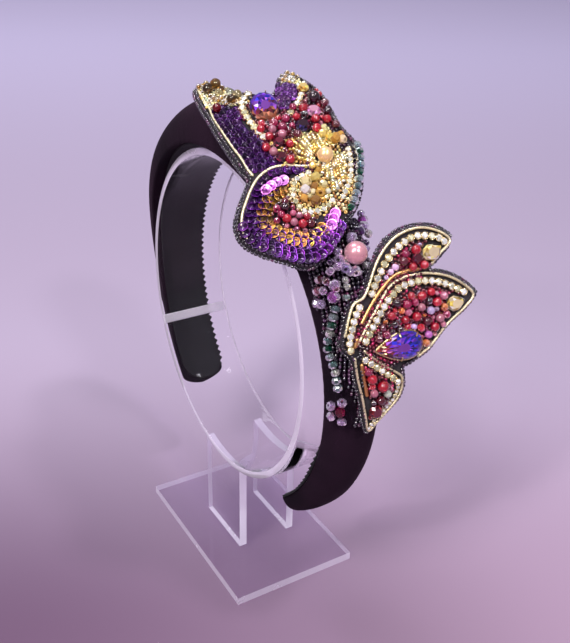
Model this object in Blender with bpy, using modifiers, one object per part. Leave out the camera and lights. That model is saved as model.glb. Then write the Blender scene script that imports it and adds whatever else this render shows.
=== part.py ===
# A padded velvet headband with beaded wings, resting on its clear acrylic display stand.
# Metres, +Z up. The origin is the middle of the base's underside, X is the wearer's left to
# right, and the front of the stand faces -Y. Tables named in millimetres are scaled by MM.
import math

import bmesh
import bpy
from mathutils import Vector

MM = 0.001
GAP = 0.0003                # between pieces that rest on each other

# Stand
BASE_WIDTH = 0.094
BASE_DEPTH = 0.062
BASE_THICK = 0.004
UPRIGHT_WIDTH = 0.034
UPRIGHT_THICK = 0.0038
UPRIGHT_FRONT_Y = -0.0122   # middle of the front plate
UPRIGHT_REAR_Y = 0.0142
RING_HALF_WIDTH = 0.0707    # outside of the oval ring
RING_HALF_HEIGHT = 0.075
RING_CENTRE_Z = 0.1229
RING_WALL = 0.0031
RING_FRONT_Y = -0.0148
RING_REAR_Y = 0.0206
RING_SIDES = 64

# Band: its inner face is a slightly turned ellipse, and angles run from the band's own middle
INNER_HALF_A = 0.0740
INNER_HALF_B = 0.0788
INNER_CENTRE = (0.0031, 0.1207)
INNER_TURN = math.radians(20)
BAND_MIDDLE = math.radians(24)
BAND_HALF_ANGLE = 142       # degrees to each rounded end
BAND_STATIONS = 46
PAD_ROUND = 2.4             # exponent of the padded section
SECTION_POINTS = 13
END_ROUND = 8               # degrees over which an end closes
LINING_THICK = 0.0012
LINING_MARGIN = 0.0012      # the tape stands out beside the velvet

# Beaded wings: sheets bent to one large radius, with their own along, across and height
SHEET_STEP = 7              # mm between the bends of a sheet
BACKING = 1.3               # mm, felt under the beads
SEAT = 0.3                  # mm, from the felt to what is sewn on it
WIRE_RADIUS = 0.7
BULLION_RADIUS = 0.8

STONE_WIDTH = 2.6           # mm, rhinestones of the cup chains
STONE_GIRDLE = 1.3
STONE_CROWN = 0.8

COLOURS = {
    # finish: red, green, blue, roughness, metallic
    "acrylic": (0.86, 0.86, 0.90, 0.08, 0.0),
    "velvet": (0.030, 0.010, 0.022, 0.85, 0.0),
    "tape": (0.030, 0.028, 0.034, 0.80, 0.0),
    "felt": (0.012, 0.010, 0.014, 0.90, 0.0),
    "gold": (0.72, 0.52, 0.22, 0.30, 1.0),
    "copper": (0.62, 0.30, 0.12, 0.35, 1.0),
    "rhinestone": (0.85, 0.84, 0.74, 0.10, 0.2),
    "violet": (0.09, 0.02, 0.22, 0.25, 0.3),
    "lilac": (0.45, 0.24, 0.50, 0.20, 0.1),
    "crimson": (0.45, 0.02, 0.07, 0.25, 0.1),
    "garnet": (0.08, 0.01, 0.02, 0.15, 0.1),
    "navy": (0.03, 0.02, 0.10, 0.15, 0.1),
    "amber": (0.75, 0.40, 0.06, 0.12, 0.2),
    "pearl_peach": (0.88, 0.60, 0.36, 0.25, 0.0),
    "pearl_pink": (0.78, 0.45, 0.48, 0.25, 0.0),
    "teal": (0.22, 0.36, 0.38, 0.20, 0.1),
}


def clear_scene():
    for old in list(bpy.data.objects):
        bpy.data.objects.remove(old)


def finish(name):
    if name in bpy.data.materials:
        return bpy.data.materials[name]
    red, green, blue, roughness, metallic = COLOURS[name]
    material = bpy.data.materials.new(name)
    material.use_nodes = True
    shader = material.node_tree.nodes["Principled BSDF"]
    shader.inputs["Base Color"].default_value = (red, green, blue, 1.0)
    shader.inputs["Roughness"].default_value = roughness
    shader.inputs["Metallic"].default_value = metallic
    return material


def add_object(name, data, colour):
    piece = bpy.data.objects.new(name, data)
    data.materials.append(finish(colour))
    bpy.data.collections["velvet_headband"].objects.link(piece)
    return piece


def add_mesh(name, bm, colour, smooth_angle=0.6):
    bmesh.ops.recalc_face_normals(bm, faces=bm.faces)
    if bm.calc_volume(signed=True) < 0:
        bmesh.ops.reverse_faces(bm, faces=bm.faces)
    mesh = bpy.data.meshes.new(name)
    bm.to_mesh(mesh)
    bm.free()
    mesh.shade_smooth()
    mesh.set_sharp_from_angle(angle=smooth_angle)
    return add_object(name, mesh, colour)


# Outlines

def smooth_line(points, steps, closed=True, corners=()):
    """A Catmull-Rom line through the points, sharp at the numbered corners."""
    count = len(points)
    dots = [Vector(p) for p in points]
    line = []
    spans = count if closed else count - 1
    for i in range(spans):
        a, b = dots[i], dots[(i + 1) % count]
        before = dots[i - 1] if closed or i else a
        after = dots[(i + 2) % count] if closed or i + 2 < count else b
        slope_a = (b - a) if i in corners else (b - before) / 2
        slope_b = (b - a) if (i + 1) % count in corners else (after - a) / 2
        for k in range(steps):
            t = k / steps
            line.append(a * (2*t**3 - 3*t**2 + 1) + slope_a * (t**3 - 2*t**2 + t)
                        + b * (3*t**2 - 2*t**3) + slope_b * (t**3 - t**2))
    if not closed:
        line.append(dots[-1])
    return line


def evenly(line, spacing):
    """Points at equal steps along an open line, as near to the spacing as fits."""
    lengths = [0.0]
    for a, b in zip(line, line[1:]):
        lengths.append(lengths[-1] + (b - a).length)
    count = max(2, round(lengths[-1] / spacing))
    places = []
    for k in range(count + 1):
        target = lengths[-1] * k / count
        i = max(j for j in range(len(line) - 1) if lengths[j] <= target + 1e-9)
        share = (target - lengths[i]) / max(lengths[i + 1] - lengths[i], 1e-9)
        places.append(line[i].lerp(line[i + 1], min(share, 1.0)))
    return places


# The padded band

def inner_curve(angle):
    """Point, outward normal and direction of the band's inner face; the angle in degrees."""
    t = math.radians(angle) + BAND_MIDDLE
    turn_cos, turn_sin = math.cos(INNER_TURN), math.sin(INNER_TURN)
    side, up = INNER_HALF_A * math.sin(t), INNER_HALF_B * math.cos(t)
    side_step, up_step = INNER_HALF_A * math.cos(t), -INNER_HALF_B * math.sin(t)
    point = Vector((INNER_CENTRE[0] + turn_cos * side - turn_sin * up, 0.0,
                    INNER_CENTRE[1] + turn_sin * side + turn_cos * up))
    along = Vector((turn_cos * side_step - turn_sin * up_step, 0.0,
                    turn_sin * side_step + turn_cos * up_step)).normalized()
    return point, Vector((-along.z, 0.0, along.x)), along


def left_swell(angle):
    """The left shoulder is stuffed fuller than the right one."""
    return math.exp(-((angle + 60) / 32)**2)


def pad_height(angle):
    """Padding over the inner face: 21 mm at the crown, 9.5 mm at the ends."""
    turn = abs(angle)
    return MM * (9.5 + 7.0 * math.cos(math.radians(turn / 144 * 90)) + 4.5 * math.exp(-(turn / 28)**2)
                 + 2.0 * left_swell(angle))


def tape_front_edge(angle):
    return MM * (10.5 + 9.0 * math.exp(-((angle + 8) / 52)**2))


def front_edge(angle):
    return tape_front_edge(angle) + 4.0 * MM * left_swell(angle)


def rear_edge(angle):
    return MM * (11.0 + 4.0 * math.exp(-(angle / 45)**2))


def end_close(angle):
    """1 along the band, falling to 0 at the rounded ends like a quarter circle."""
    share = min(1.0, (BAND_HALF_ANGLE - abs(angle)) / END_ROUND)
    return math.sqrt(max(0.0, 1.0 - (1.0 - share)**2))


def band_point(angle, turn, lift):
    """A point over the padded surface; turn is 0 at the rear edge, 90 on the ridge, 180 in front."""
    point, normal, _ = inner_curve(angle)
    half = (front_edge(angle) + rear_edge(angle)) / 2 + lift
    middle = (rear_edge(angle) - front_edge(angle)) / 2
    cosine, sine = math.cos(math.radians(turn)), math.sin(math.radians(turn))
    across = math.copysign(abs(cosine)**(2 / PAD_ROUND), cosine)
    rise = max(sine, 0.0)**(2 / PAD_ROUND)
    base = LINING_THICK + GAP
    height = base + (pad_height(angle) + lift - base) * rise
    return point + normal * height + Vector((0.0, middle + half * across, 0.0))


def loft(name, rings, colour, closed=False, smooth_angle=0.6):
    bm = bmesh.new()
    rows = [[bm.verts.new(p) for p in ring] for ring in rings]
    pairs = list(zip(rows, rows[1:]))
    if closed:
        pairs.append((rows[-1], rows[0]))
    for low, high in pairs:
        for k in range(len(low)):
            j = (k + 1) % len(low)
            bm.faces.new((low[k], low[j], high[j], high[k]))
    if not closed:
        bm.faces.new(rows[0][::-1])
        bm.faces.new(rows[-1])
    return add_mesh(name, bm, colour, smooth_angle)


def band_angles(stations, half_angle):
    """Stations along the band, closer together at the rounded ends."""
    ends = [half_angle - END_ROUND * (1 - math.cos(math.radians(q))) for q in (14, 34, 58, 90)]
    inside = [-ends[-1] + 2 * ends[-1] * k / (stations - 1) for k in range(1, stations - 1)]
    return [-a for a in ends] + inside + ends[::-1]


def make_velvet_band():
    rings = []
    for angle in band_angles(BAND_STATIONS, BAND_HALF_ANGLE):
        point, normal, _ = inner_curve(angle)
        close = end_close(angle)
        half = (front_edge(angle) + rear_edge(angle)) / 2 * close
        middle = (rear_edge(angle) - front_edge(angle)) / 2
        base = LINING_THICK + GAP
        rise_most = (pad_height(angle) - base) * (0.35 + 0.65 * close)
        ring = []
        for k in range(SECTION_POINTS):
            turn = math.pi * k / (SECTION_POINTS - 1)
            across = math.copysign(abs(math.cos(turn))**(2 / PAD_ROUND), math.cos(turn))
            rise = max(math.sin(turn), 0.0)**(2 / PAD_ROUND)
            ring.append(point + normal * (base + rise_most * rise)
                        + Vector((0.0, middle + half * across, 0.0)))
        rings.append(ring)
    loft("velvet_band", rings, "velvet")


def make_lining():
    rings = []
    for angle in band_angles(BAND_STATIONS, BAND_HALF_ANGLE):
        point, normal, _ = inner_curve(angle)
        close = end_close(angle)
        rear = rear_edge(angle) * close + LINING_MARGIN
        front = -tape_front_edge(angle) * close - LINING_MARGIN
        rings.append([point + normal * up + Vector((0.0, y, 0.0))
                      for up, y in ((0, rear), (0, front), (LINING_THICK, front), (LINING_THICK, rear))])
    loft("lining", rings, "tape")


PATCH = {"start": 42, "stop": 91, "rows": 13, "rear_turn": 44, "front_turn": 158, "columns": 7,
         "low": 0.0004, "high": 0.0015}


def make_bead_patch():
    """The dark embroidered strip on the band's right outer face, a thin shell over the velvet."""
    rings = []
    for i in range(PATCH["rows"]):
        angle = PATCH["start"] + (PATCH["stop"] - PATCH["start"]) * i / (PATCH["rows"] - 1)
        turns = [PATCH["rear_turn"] + (PATCH["front_turn"] - PATCH["rear_turn"]) * k / (PATCH["columns"] - 1)
                 for k in range(PATCH["columns"])]
        under = [band_point(angle, turn, PATCH["low"]) for turn in turns]
        over = [band_point(angle, turn, PATCH["high"]) for turn in turns]
        rings.append(under + over[::-1])
    loft("bead_patch", rings, "felt")


# Sheets of the two wings

class Sheet:
    """A sheet bent round a far axis. Along runs up the band, across runs rearward, in millimetres."""

    def __init__(self, angle, lift, rear_rise, radius, upward):
        point, normal, _ = inner_curve(angle)
        self.origin = point + normal * (pad_height(angle) + lift * MM)
        self.normal = Vector((normal.x, -rear_rise, normal.z)).normalized()
        rear = Vector((0.0, 1.0, 0.0))
        self.across = (rear - self.normal * rear.dot(self.normal)).normalized()
        self.along = self.across.cross(self.normal)
        if self.along.dot(Vector(upward)) < 0:
            self.along.negate()
        self.radius = radius

    def place(self, along, across, height):
        angle = along / self.radius
        reach = (self.radius + height) * MM
        return (self.origin + self.along * (reach * math.sin(angle))
                + self.normal * (reach * math.cos(angle) - self.radius * MM)
                + self.across * (across * MM))


FRONT_SHEET = {"angle": 36.75, "lift": 4.0, "rear_rise": 0.30, "radius": 155, "upward": (-1, 0, 1)}
REAR_SHEET = {"angle": 73.0, "lift": 3.6, "rear_rise": 0.18, "radius": 160, "upward": (0, 0, 1)}

# Outlines as (along, across) in millimetres
FRONT_BACKING = [
    (70, -30), (74, -27), (74, -20.5), (68.5, -17.5), (60.5, -13.5), (54.2, -5.5), (58, -0.5),
    (64.5, 3.5), (65, 8), (60.5, 12), (50, 15.3), (40, 15.6), (30, 15.6), (22, 17.5), (14, 16.8),
    (5.5, 13.6), (-1.5, 9.4), (-6.2, 4.8), (-9.6, -0.6), (-14, -5.6), (-17.8, -10.6), (-20.4, -15.8),
    (-19.5, -20.5), (-15.5, -26),
    (-11.5, -31.5), (-6.5, -36.5), (-1, -38.5), (4.5, -37.5), (10, -34), (15, -30), (19.5, -26.8),
    (24, -28), (31, -29), (41, -30), (51, -30.5), (61, -30.8)]
FRONT_CORNERS = (5,)
REAR_BACKING = [
    (8.5, -12), (13, -11.8), (24, -7), (25.8, -2.8), (30.5, 0.2), (37, 4.2), (43, 8.4), (46.8, 14),
    (48.8, 20.3), (48.8, 27), (47.3, 33), (42.8, 38.8), (38.5, 37), (34.5, 32), (31.6, 27.8),
    (30.3, 33), (27.5, 38.3), (24, 42.6), (19.7, 46), (16.3, 43), (12.8, 38), (9.8, 33), (6, 28.4),
    (1.5, 23.8), (-1.7, 17), (-3, 13), (-6.5, 13.2), (-10.5, 12.8), (-14.8, 10.8), (-19, 6.2),
    (-23, 1.2), (-27.2, -3.9), (-20, -5.6), (-12.5, -6.3), (-6, -7.4), (-1, -8.1), (4, -8.6)]
REAR_CORNERS = (11, 14, 18, 25, 31)

# Wires and bullion cords: sheet, radius, closed, points
FOREWING_WIRE = [(69.5, -27.6), (62, -27.7), (56, -27.5), (50, -27.9), (42, -27.2), (34, -26.3),
                 (28.5, -25.3), (23, -24.8)]
HINDWING_WIRE = [(16, 0.5), (17.5, -5.5), (20, -11.5), (20.6, -16.5), (19, -21.5), (16, -25.5),
                 (11.5, -29.5), (6, -33.5), (0, -35.6), (-5, -33.8), (-9.2, -29.8), (-13.2, -24.6),
                 (-16.6, -19), (-17.4, -13.5), (-15.5, -8.5)]
REAR_UPPER_WIRE = [(13, -10), (23.3, -5.6), (25.8, -0.8), (30.2, 2.2), (37, 6.2), (41.5, 10.3),
                   (44.8, 15), (46.5, 20.3), (46.9, 25), (45.8, 30), (43, 35)]
REAR_MIDDLE_WIRE = [(11, -4.2), (16, -0.5), (21.5, 4.0), (26.8, 8.6), (29.6, 13.2), (30.6, 19.5),
                    (30.1, 26), (28, 33.2), (24.3, 39), (19.2, 43.2), (14.6, 38), (11.6, 33),
                    (8.1, 28.4), (3.5, 23.5), (0.4, 17.8)]
REAR_LOWER_WIRE = [(7, -3.2), (2.6, 1.2), (-0.5, 4.8), (-3.4, 8.6), (-6, 11.2), (-10, 11),
                   (-14, 9), (-18, 4.8), (-22, 0.2), (-24.5, -3), (-18, -4.1), (-11, -5),
                   (-2.5, -6.4), (5, -6.8)]
REAR_BULLION = [(32.3, 22), (32.3, 16.5), (31.2, 11.4), (27.6, 6.5), (23, 1.9), (20, -1)]

# Cup chains of rhinestones
FOREWING_CHAIN = [(58, -11.3), (56, -14), (52, -16), (46.5, -16.2), (42, -16), (37.5, -15), (34.5, -14.2)]
LOBE_CHAIN = [(49.4, 7.2), (48, 6), (46.5, 4.8), (44, 2), (42.2, -0.2)]
EDGE_CHAIN = [(18.5, 12.8), (12, 11), (7, 8.6), (3.5, 5.6), (1, 3.2)]
HINDWING_CHAIN = [(14, -5), (13, -10), (10.5, -12), (7.5, -13.5), (4, -13.5), (0.3, -12), (-1, -8.5),
                  (-1, -4.5), (1, -1)]
REAR_UPPER_CHAIN = [(26.6, 2.6), (29.3, 4.5), (34, 8.2), (37, 10.9), (39.5, 14), (41.5, 17.3),
                    (43, 21), (43.4, 24.5), (42.8, 28), (41.8, 31)]
REAR_ROOT_CHAIN = [(22, -2.8), (19, -4.6), (15, -6.6), (11.5, -8.2), (8, -9)]
REAR_MIDDLE_CHAIN = [(10, -1.6), (15.2, 2.4), (21.2, 7.2), (24.2, 10.6), (26.2, 13.4), (27, 16.5),
                     (27.3, 20), (27, 24), (26, 28.5), (24.2, 32.5), (22.4, 35.7), (20.5, 38.7)]
REAR_LOWER_CHAIN = [(3, -3.5), (-1.3, 1.6), (-5.5, 6.5), (-7.3, 8.6)]

# Sewn fields of sequins (flat) and of beads (studded)
FLAT_FIELDS = {
    "forewing_sequins": ("front", "violet", 1.5, [
        (52, -25), (51.5, -19.5), (43, -18.7), (34, -17.2), (27, -16), (23.4, -15.6), (22.8, -19.5),
        (26, -22.8), (35.5, -24.2), (45, -25.3)]),
    "lobe_sequins": ("front", "violet", 1.8, [
        (54, 2), (52.5, 5), (48.5, 3.2), (45.8, 0.5), (47.5, -1.5), (51, -1.2)]),
    "hindwing_sequins": ("front", "violet", 1.4, [
        (15.3, -8), (18, -12), (18.8, -17), (17, -21.5), (14.3, -24.5), (9.5, -28.7), (5, -31.6),
        (0, -33.6), (-4, -32.2), (-8, -28.2), (-12, -23), (-15, -18.2), (-15.6, -13.5), (-13.5, -9),
        (-11, -6), (-9.5, -7.2), (-12.2, -12), (-10.5, -18.3), (-6, -24.6), (-0.6, -28.2),
        (5.6, -27.2), (9.6, -22.7), (10.6, -16.2), (13.6, -13.2)]),
    "gold_sequins": ("front", "copper", 1.5, [
        (9.4, -16.4), (8.5, -22), (5, -26), (-0.5, -27), (-5, -23.7), (-9.3, -17.9), (-11, -12),
        (-8.6, -8.2), (-7.4, -10.5), (-7.6, -15.7), (-3.4, -20.6), (0.3, -24), (4, -22.4), (7.2, -17.4)]),
}
BEAD_FIELDS = {
    "gold_lobe_beads": ("front", "gold", [
        (66.5, -26), (70, -21.5), (65.5, -18), (60, -15.5), (57.2, -18), (54.2, -19.5), (54.5, -24.5),
        (60, -25.9)]),
    "lobe_tip_beads": ("front", "rhinestone", [
        (62.5, 4.5), (61.5, 7.8), (58.8, 8), (56.5, 6), (56.4, 3.5), (59, 1.8)]),
    "crimson_beads": ("front", "crimson", [
        (39.9, -13), (39.6, -9), (40.2, -4), (38.8, -3), (34.4, -3.2), (33.8, -5), (34.2, -9), (36, -12.3)]),
    "crimson_edge_beads": ("front", "crimson", [
        (35.6, 9), (36.4, 13.4), (29.4, 13.4), (29.2, 9.4), (32.4, 7)]),
    "heart_beads": ("front", "crimson", [
        (5.4, -17.2), (2.6, -20.6), (0.6, -21.9), (-2.2, -18.9), (-5.8, -15), (-5.8, -11), (-4.2, -9.8),
        (-1.2, -14), (2.4, -16)]),
    "champagne_beads": ("front", "amber", [
        (11.4, -6), (10, -9), (7.2, -10.7), (3.8, -10.5), (1.6, -7.6), (1.8, -4.2), (4.4, -2.4), (9, -2.6)]),
    "gold_fan": ("front", "gold", [
        (31.2, -4.6), (30.2, -0.4), (27.6, 4.0), (25.2, 3.4), (24.2, 0.9), (21.8, -1.2), (18.9, -1.6), (20, -4.2),
        (26, -5.4)]),
    "bullion_fan": ("front", "gold", [
        (15.2, 7.4), (15.2, 9.3), (11.7, 8.5), (7.6, 6.2), (4.8, 4.1), (5, 2.6), (8.2, 3.3), (12, 5.4)]),
    "rear_upper_beads": ("rear", "crimson", [
        (33.9, 11), (36.8, 13.7), (39, 17), (38.8, 19.2), (35.6, 18.8), (34.2, 17.5), (33.9, 14)]),
    "rear_middle_beads": ("rear", "crimson", [
        (15.2, 5.6), (19.5, 8.9), (22.8, 12.7), (24.2, 17), (24.2, 23), (22.8, 28), (20.2, 31),
        (15.2, 30.4), (10.5, 26), (7.8, 22.6), (11, 21), (13.8, 17.2), (14, 12.5), (13.6, 8.2)]),
    "rear_lower_beads": ("rear", "crimson", [
        (-2.8, -1.7), (-5, 1.5), (-7.2, 3), (-10.5, 3), (-12.8, 1.6), (-13, -0.7), (-8.5, -1.4), (-4.4, -2.6)]),
}
FIELD_PITCH = 3.5
FIELD_FLOOR = 1.0           # height of the field between its beads
BEAD_RISE = 1.2

# Cut stones: sheet, colour, (along, across), half length along, half length across, height
CUT_STONES = {
    "round_crystal": ("front", "violet", (46.3, -9), 5.7, 5.7, 5.4),
    "amber_front": ("front", "amber", (52.6, 9.4), 2.2, 2.2, 2.8),
    "navy_stone": ("front", "navy", (33.9, 1.3), 3.0, 3.0, 3.2),
    "topaz_stone": ("front", "amber", (24.5, 8.6), 2.4, 2.4, 2.8),
    "pink_disc": ("front", "lilac", (39.4, 8), 2.7, 2.7, 2.8),
    "garnet_upper": ("front", "garnet", (29.8, -9.9), 2.2, 2.2, 2.8),
    "garnet_lower": ("front", "garnet", (23.3, -11.4), 2.2, 2.2, 2.8),
    "rear_amber_upper": ("rear", "amber", (37.4, 28.3), 2.9, 3.3, 3.4),
    "rear_amber_middle": ("rear", "amber", (17.6, 35), 2.5, 2.8, 3.2),
    "rear_garnet_upper": ("rear", "garnet", (36.2, 22), 2.4, 2.4, 3.0),
    "rear_garnet_lower": ("rear", "garnet", (-17, -0.2), 2.8, 2.8, 3.0),
}
STONE_SIDES = 8
ROUND_CRYSTAL_SIDES = 12
DROP_CRYSTAL = {"centre": (6.2, 10.3), "half_length": 9.2, "half_width": 5.9, "height": 5.0, "sides": 16}

PEACH_PEARL = {"place": (17.9, 3.2), "radius": 3.0}
PINK_PEARL = {"angle": 48.3, "turn": 89, "radius": 4.2}


def bend(bm, sheet):
    for vert in bm.verts:
        vert.co = sheet.place(*vert.co)


def cut_along(bm, step, top_only=False, axis=0):
    """Cuts the flat solid at whole steps along one axis, all of it or only its top."""
    low = min(v.co[axis] for v in bm.verts)
    high = max(v.co[axis] for v in bm.verts)
    normal = [0.0, 0.0, 0.0]
    normal[axis] = 1.0
    for k in range(math.ceil(low / step), math.floor(high / step) + 1):
        spot = [0.0, 0.0, 0.0]
        spot[axis] = k * step
        faces = [f for f in bm.faces if not top_only or f.normal.z > 0.9]
        edges = list({e for f in faces for e in f.edges})
        verts = list({v for f in faces for v in f.verts})
        bmesh.ops.bisect_plane(bm, geom=verts + edges + faces, plane_co=spot, plane_no=normal, dist=0.02)


def flat_prism(outline, low, high):
    """A closed slab in sheet units: x along, y across, z height."""
    bm = bmesh.new()
    face = bm.faces.new([bm.verts.new((p.x, p.y, low)) for p in outline])
    bmesh.ops.recalc_face_normals(bm, faces=[face])
    grown = bmesh.ops.extrude_face_region(bm, geom=[face])
    raised = [g for g in grown["geom"] if isinstance(g, bmesh.types.BMVert)]
    bmesh.ops.translate(bm, verts=raised, vec=(0.0, 0.0, high - low))
    bmesh.ops.recalc_face_normals(bm, faces=bm.faces)
    return bm


def make_plate(name, sheet, outline, low, high, colour, corners=(), steps=2):
    bm = flat_prism(smooth_line(outline, steps, corners=corners), low, high)
    cut_along(bm, SHEET_STEP)
    bmesh.ops.triangulate(bm, faces=bm.faces)
    bend(bm, sheet)
    return add_mesh(name, bm, colour)


def make_bead_field(name, sheet, outline, colour):
    """A sewn field: a low pad whose top rises into one stud for each bead."""
    bm = flat_prism(smooth_line(outline, 2), SEAT, FIELD_FLOOR)
    cut_along(bm, SHEET_STEP)
    cut_along(bm, FIELD_PITCH, top_only=True, axis=0)
    cut_along(bm, FIELD_PITCH, top_only=True, axis=1)
    whole = FIELD_PITCH**2
    tops = [f for f in bm.faces if f.normal.z > 0.9 and f.calc_area() > 0.999 * whole]
    bmesh.ops.inset_individual(bm, faces=tops, thickness=0.26 * FIELD_PITCH, depth=BEAD_RISE)
    bmesh.ops.triangulate(bm, faces=[f for f in bm.faces if len(f.verts) > 4])
    bend(bm, sheet)
    return add_mesh(name, bm, colour, 0.3)


def make_wire(name, sheet, points, radius, colour):
    curve = bpy.data.curves.new(name, "CURVE")
    curve.dimensions = "3D"
    curve.bevel_depth = radius * MM
    curve.bevel_resolution = 2
    curve.use_fill_caps = True
    spline = curve.splines.new("POLY")
    spline.points.add(len(points) - 1)
    for dot, (along, across) in zip(spline.points, points):
        dot.co = (*sheet.place(along, across, SEAT + radius), 1.0)
    return add_object(name, curve, colour)


def make_chain(name, sheet, points, colour="rhinestone"):
    """Rhinestones in cups, joined edge to edge: each is an octagon with a crown and a table."""
    line = evenly(smooth_line(points, 4, closed=False), STONE_WIDTH * 1.06)
    half = STONE_WIDTH / 2
    short = half * math.tan(math.radians(22.5))
    bm = bmesh.new()

    def side_points(place, direction):
        across = Vector((-direction.y, direction.x))
        return [bm.verts.new((*(place + across * s), SEAT)) for s in (-short, short)]

    borders = []
    for k, place in enumerate(line):
        before, after = line[max(k - 1, 0)], line[min(k + 1, len(line) - 1)]
        borders.append(side_points(place, (after - before).normalized()))
    for k in range(len(line) - 1):
        middle = (line[k] + line[k + 1]) / 2
        direction = (line[k + 1] - line[k]).normalized()
        across = Vector((-direction.y, direction.x))
        corners = {}
        for s in (-1, 1):
            for t in (-1, 1):
                spot = middle + direction * (s * short) + across * (t * half)
                corners[s, t] = bm.verts.new((*spot, SEAT))
        bm.faces.new((borders[k][1], borders[k][0], corners[-1, -1], corners[1, -1],
                      borders[k + 1][0], borders[k + 1][1], corners[1, 1], corners[-1, 1]))
    grown = bmesh.ops.extrude_face_region(bm, geom=bm.faces[:])
    raised = [g for g in grown["geom"] if isinstance(g, bmesh.types.BMVert)]
    bmesh.ops.translate(bm, verts=raised, vec=(0.0, 0.0, STONE_GIRDLE))
    bmesh.ops.recalc_face_normals(bm, faces=bm.faces)
    tops = [f for f in bm.faces if f.normal.z > 0.9]
    bmesh.ops.inset_individual(bm, faces=tops, thickness=0.42 * half, depth=STONE_CROWN)
    bmesh.ops.triangulate(bm, faces=[f for f in bm.faces if len(f.verts) > 4])
    bend(bm, sheet)
    return add_mesh(name, bm, colour, 0.3)


def drop_outline(centre, half_length, half_width, sides):
    """A pear shape with its point towards the front."""
    points = []
    for k in range(sides):
        t = 2 * math.pi * k / sides
        across = -half_length * math.cos(t)
        along = half_width * 1.12 * math.sin(t) * abs(math.sin(t / 2))**0.9
        points.append(Vector((centre[0] + along, centre[1] + across)))
    return points


def round_outline(centre, half_along, half_across, sides):
    return [Vector((centre[0] + half_along * math.cos(2 * math.pi * (k + 0.5) / sides),
                    centre[1] + half_across * math.sin(2 * math.pi * (k + 0.5) / sides)))
            for k in range(sides)]


def make_stone(name, sheet, outline, height, colour):
    """A cut stone in its cup: a straight cup, a girdle, a bevelled crown and a flat table."""
    middle = sum(outline, Vector((0.0, 0.0))) / len(outline)
    levels = [(0.86, SEAT), (1.0, SEAT + height * 0.35), (0.94, SEAT + height * 0.55), (0.58, SEAT + height)]
    rings = [[sheet.place(*(middle + (p - middle) * scale), level) for p in outline]
             for scale, level in levels]
    return loft(name, rings, colour, smooth_angle=0.2)


def make_pearl(name, centre, radius, colour):
    bm = bmesh.new()
    bmesh.ops.create_uvsphere(bm, u_segments=12, v_segments=8, radius=radius * MM)
    bmesh.ops.translate(bm, verts=bm.verts, vec=centre)
    return add_mesh(name, bm, colour, 1.2)


def make_bead_string(name, places, radius, colour, sides=8):
    """Faceted beads threaded close together, as one body that narrows between them."""
    reach = radius * MM
    last = len(places) - 1
    stations = []
    for k, place in enumerate(places):
        along = (places[min(k + 1, last)] - places[max(k - 1, 0)]).normalized()
        if k == 0:
            stations.append((place - along * reach * 0.95, along, 0.45))
        stations.append((place - along * reach * 0.42, along, 1.0))
        stations.append((place + along * reach * 0.42, along, 1.0))
        if k == last:
            stations.append((place + along * reach * 0.95, along, 0.45))
        else:
            link = places[k + 1] - place
            stations.append((place + link / 2, link.normalized(), 0.45))
    rings = []
    first = stations[0][1].orthogonal()
    for centre, along, size in stations:
        first = (first - along * first.dot(along)).normalized()
        second = along.cross(first)
        rings.append([centre + (first * math.cos(2 * math.pi * j / sides)
                                + second * math.sin(2 * math.pi * j / sides)) * (size * reach)
                      for j in range(sides)])
    return loft(name, rings, colour, smooth_angle=0.3)


# The vine of beads runs down the front sheet's rear edge, past the pearl flower and down the patch.
# Places on a sheet are (along, across) in mm, places on the patch are (band angle, turn) in degrees.
VINE_UPPER = [(18.5, 16.3), (15, 15.9), (11.5, 14.6), (8.2, 12.9), (5, 11), (2, 9.1), (-1, 6.8), (-4, 4)]
VINE_LOWER = [(58.7, 127), (60.8, 134), (63.2, 140), (65.4, 148), (67.8, 151), (70.4, 147), (72.8, 143),
              (75, 142.5), (77.2, 141)]
VINE_RADIUS = 1.5
FLOWER_PETALS = {"ring": 6.7, "start": 98, "stop": 168, "count": 3, "radius": 2.0}
BUDS = {"places": [(44.5, 84), (43.6, 68), (42.3, 55), (40.6, 47)], "radius": 1.8}
LILAC_CLUSTER = {"places": [(51.6, 138), (54, 146), (56.6, 152)], "radius": 1.6}
VIOLET_CRYSTALS = {"places": [(53.6, 120), (56.1, 126)], "radius": 2.0}
FLOWER_DROPS = {"places": [(54.6, 104), (56.8, 108)], "radius": 1.3}
LOWER_FLOWER = {"angle": 83.4, "turn": 138, "ring": 4.1, "start": -10, "stop": 190, "count": 4, "radius": 1.8}


def patch_place(angle, turn, radius):
    """Where the middle of a bead of this radius in mm sits on the patch."""
    return band_point(angle, turn, PATCH["high"] + GAP + radius * MM)


def petal_places(centre, outward, flower):
    """Places round a flower: 0 degrees is up the band, 90 towards the front."""
    up = outward.cross(Vector((0.0, 1.0, 0.0))).normalized()
    forward = outward.cross(up)
    places = []
    for k in range(flower["count"]):
        t = math.radians(flower["start"] + (flower["stop"] - flower["start"]) * k / (flower["count"] - 1))
        places.append(centre + (up * math.cos(t) + forward * math.sin(t)) * (flower["ring"] * MM))
    return places


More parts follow.
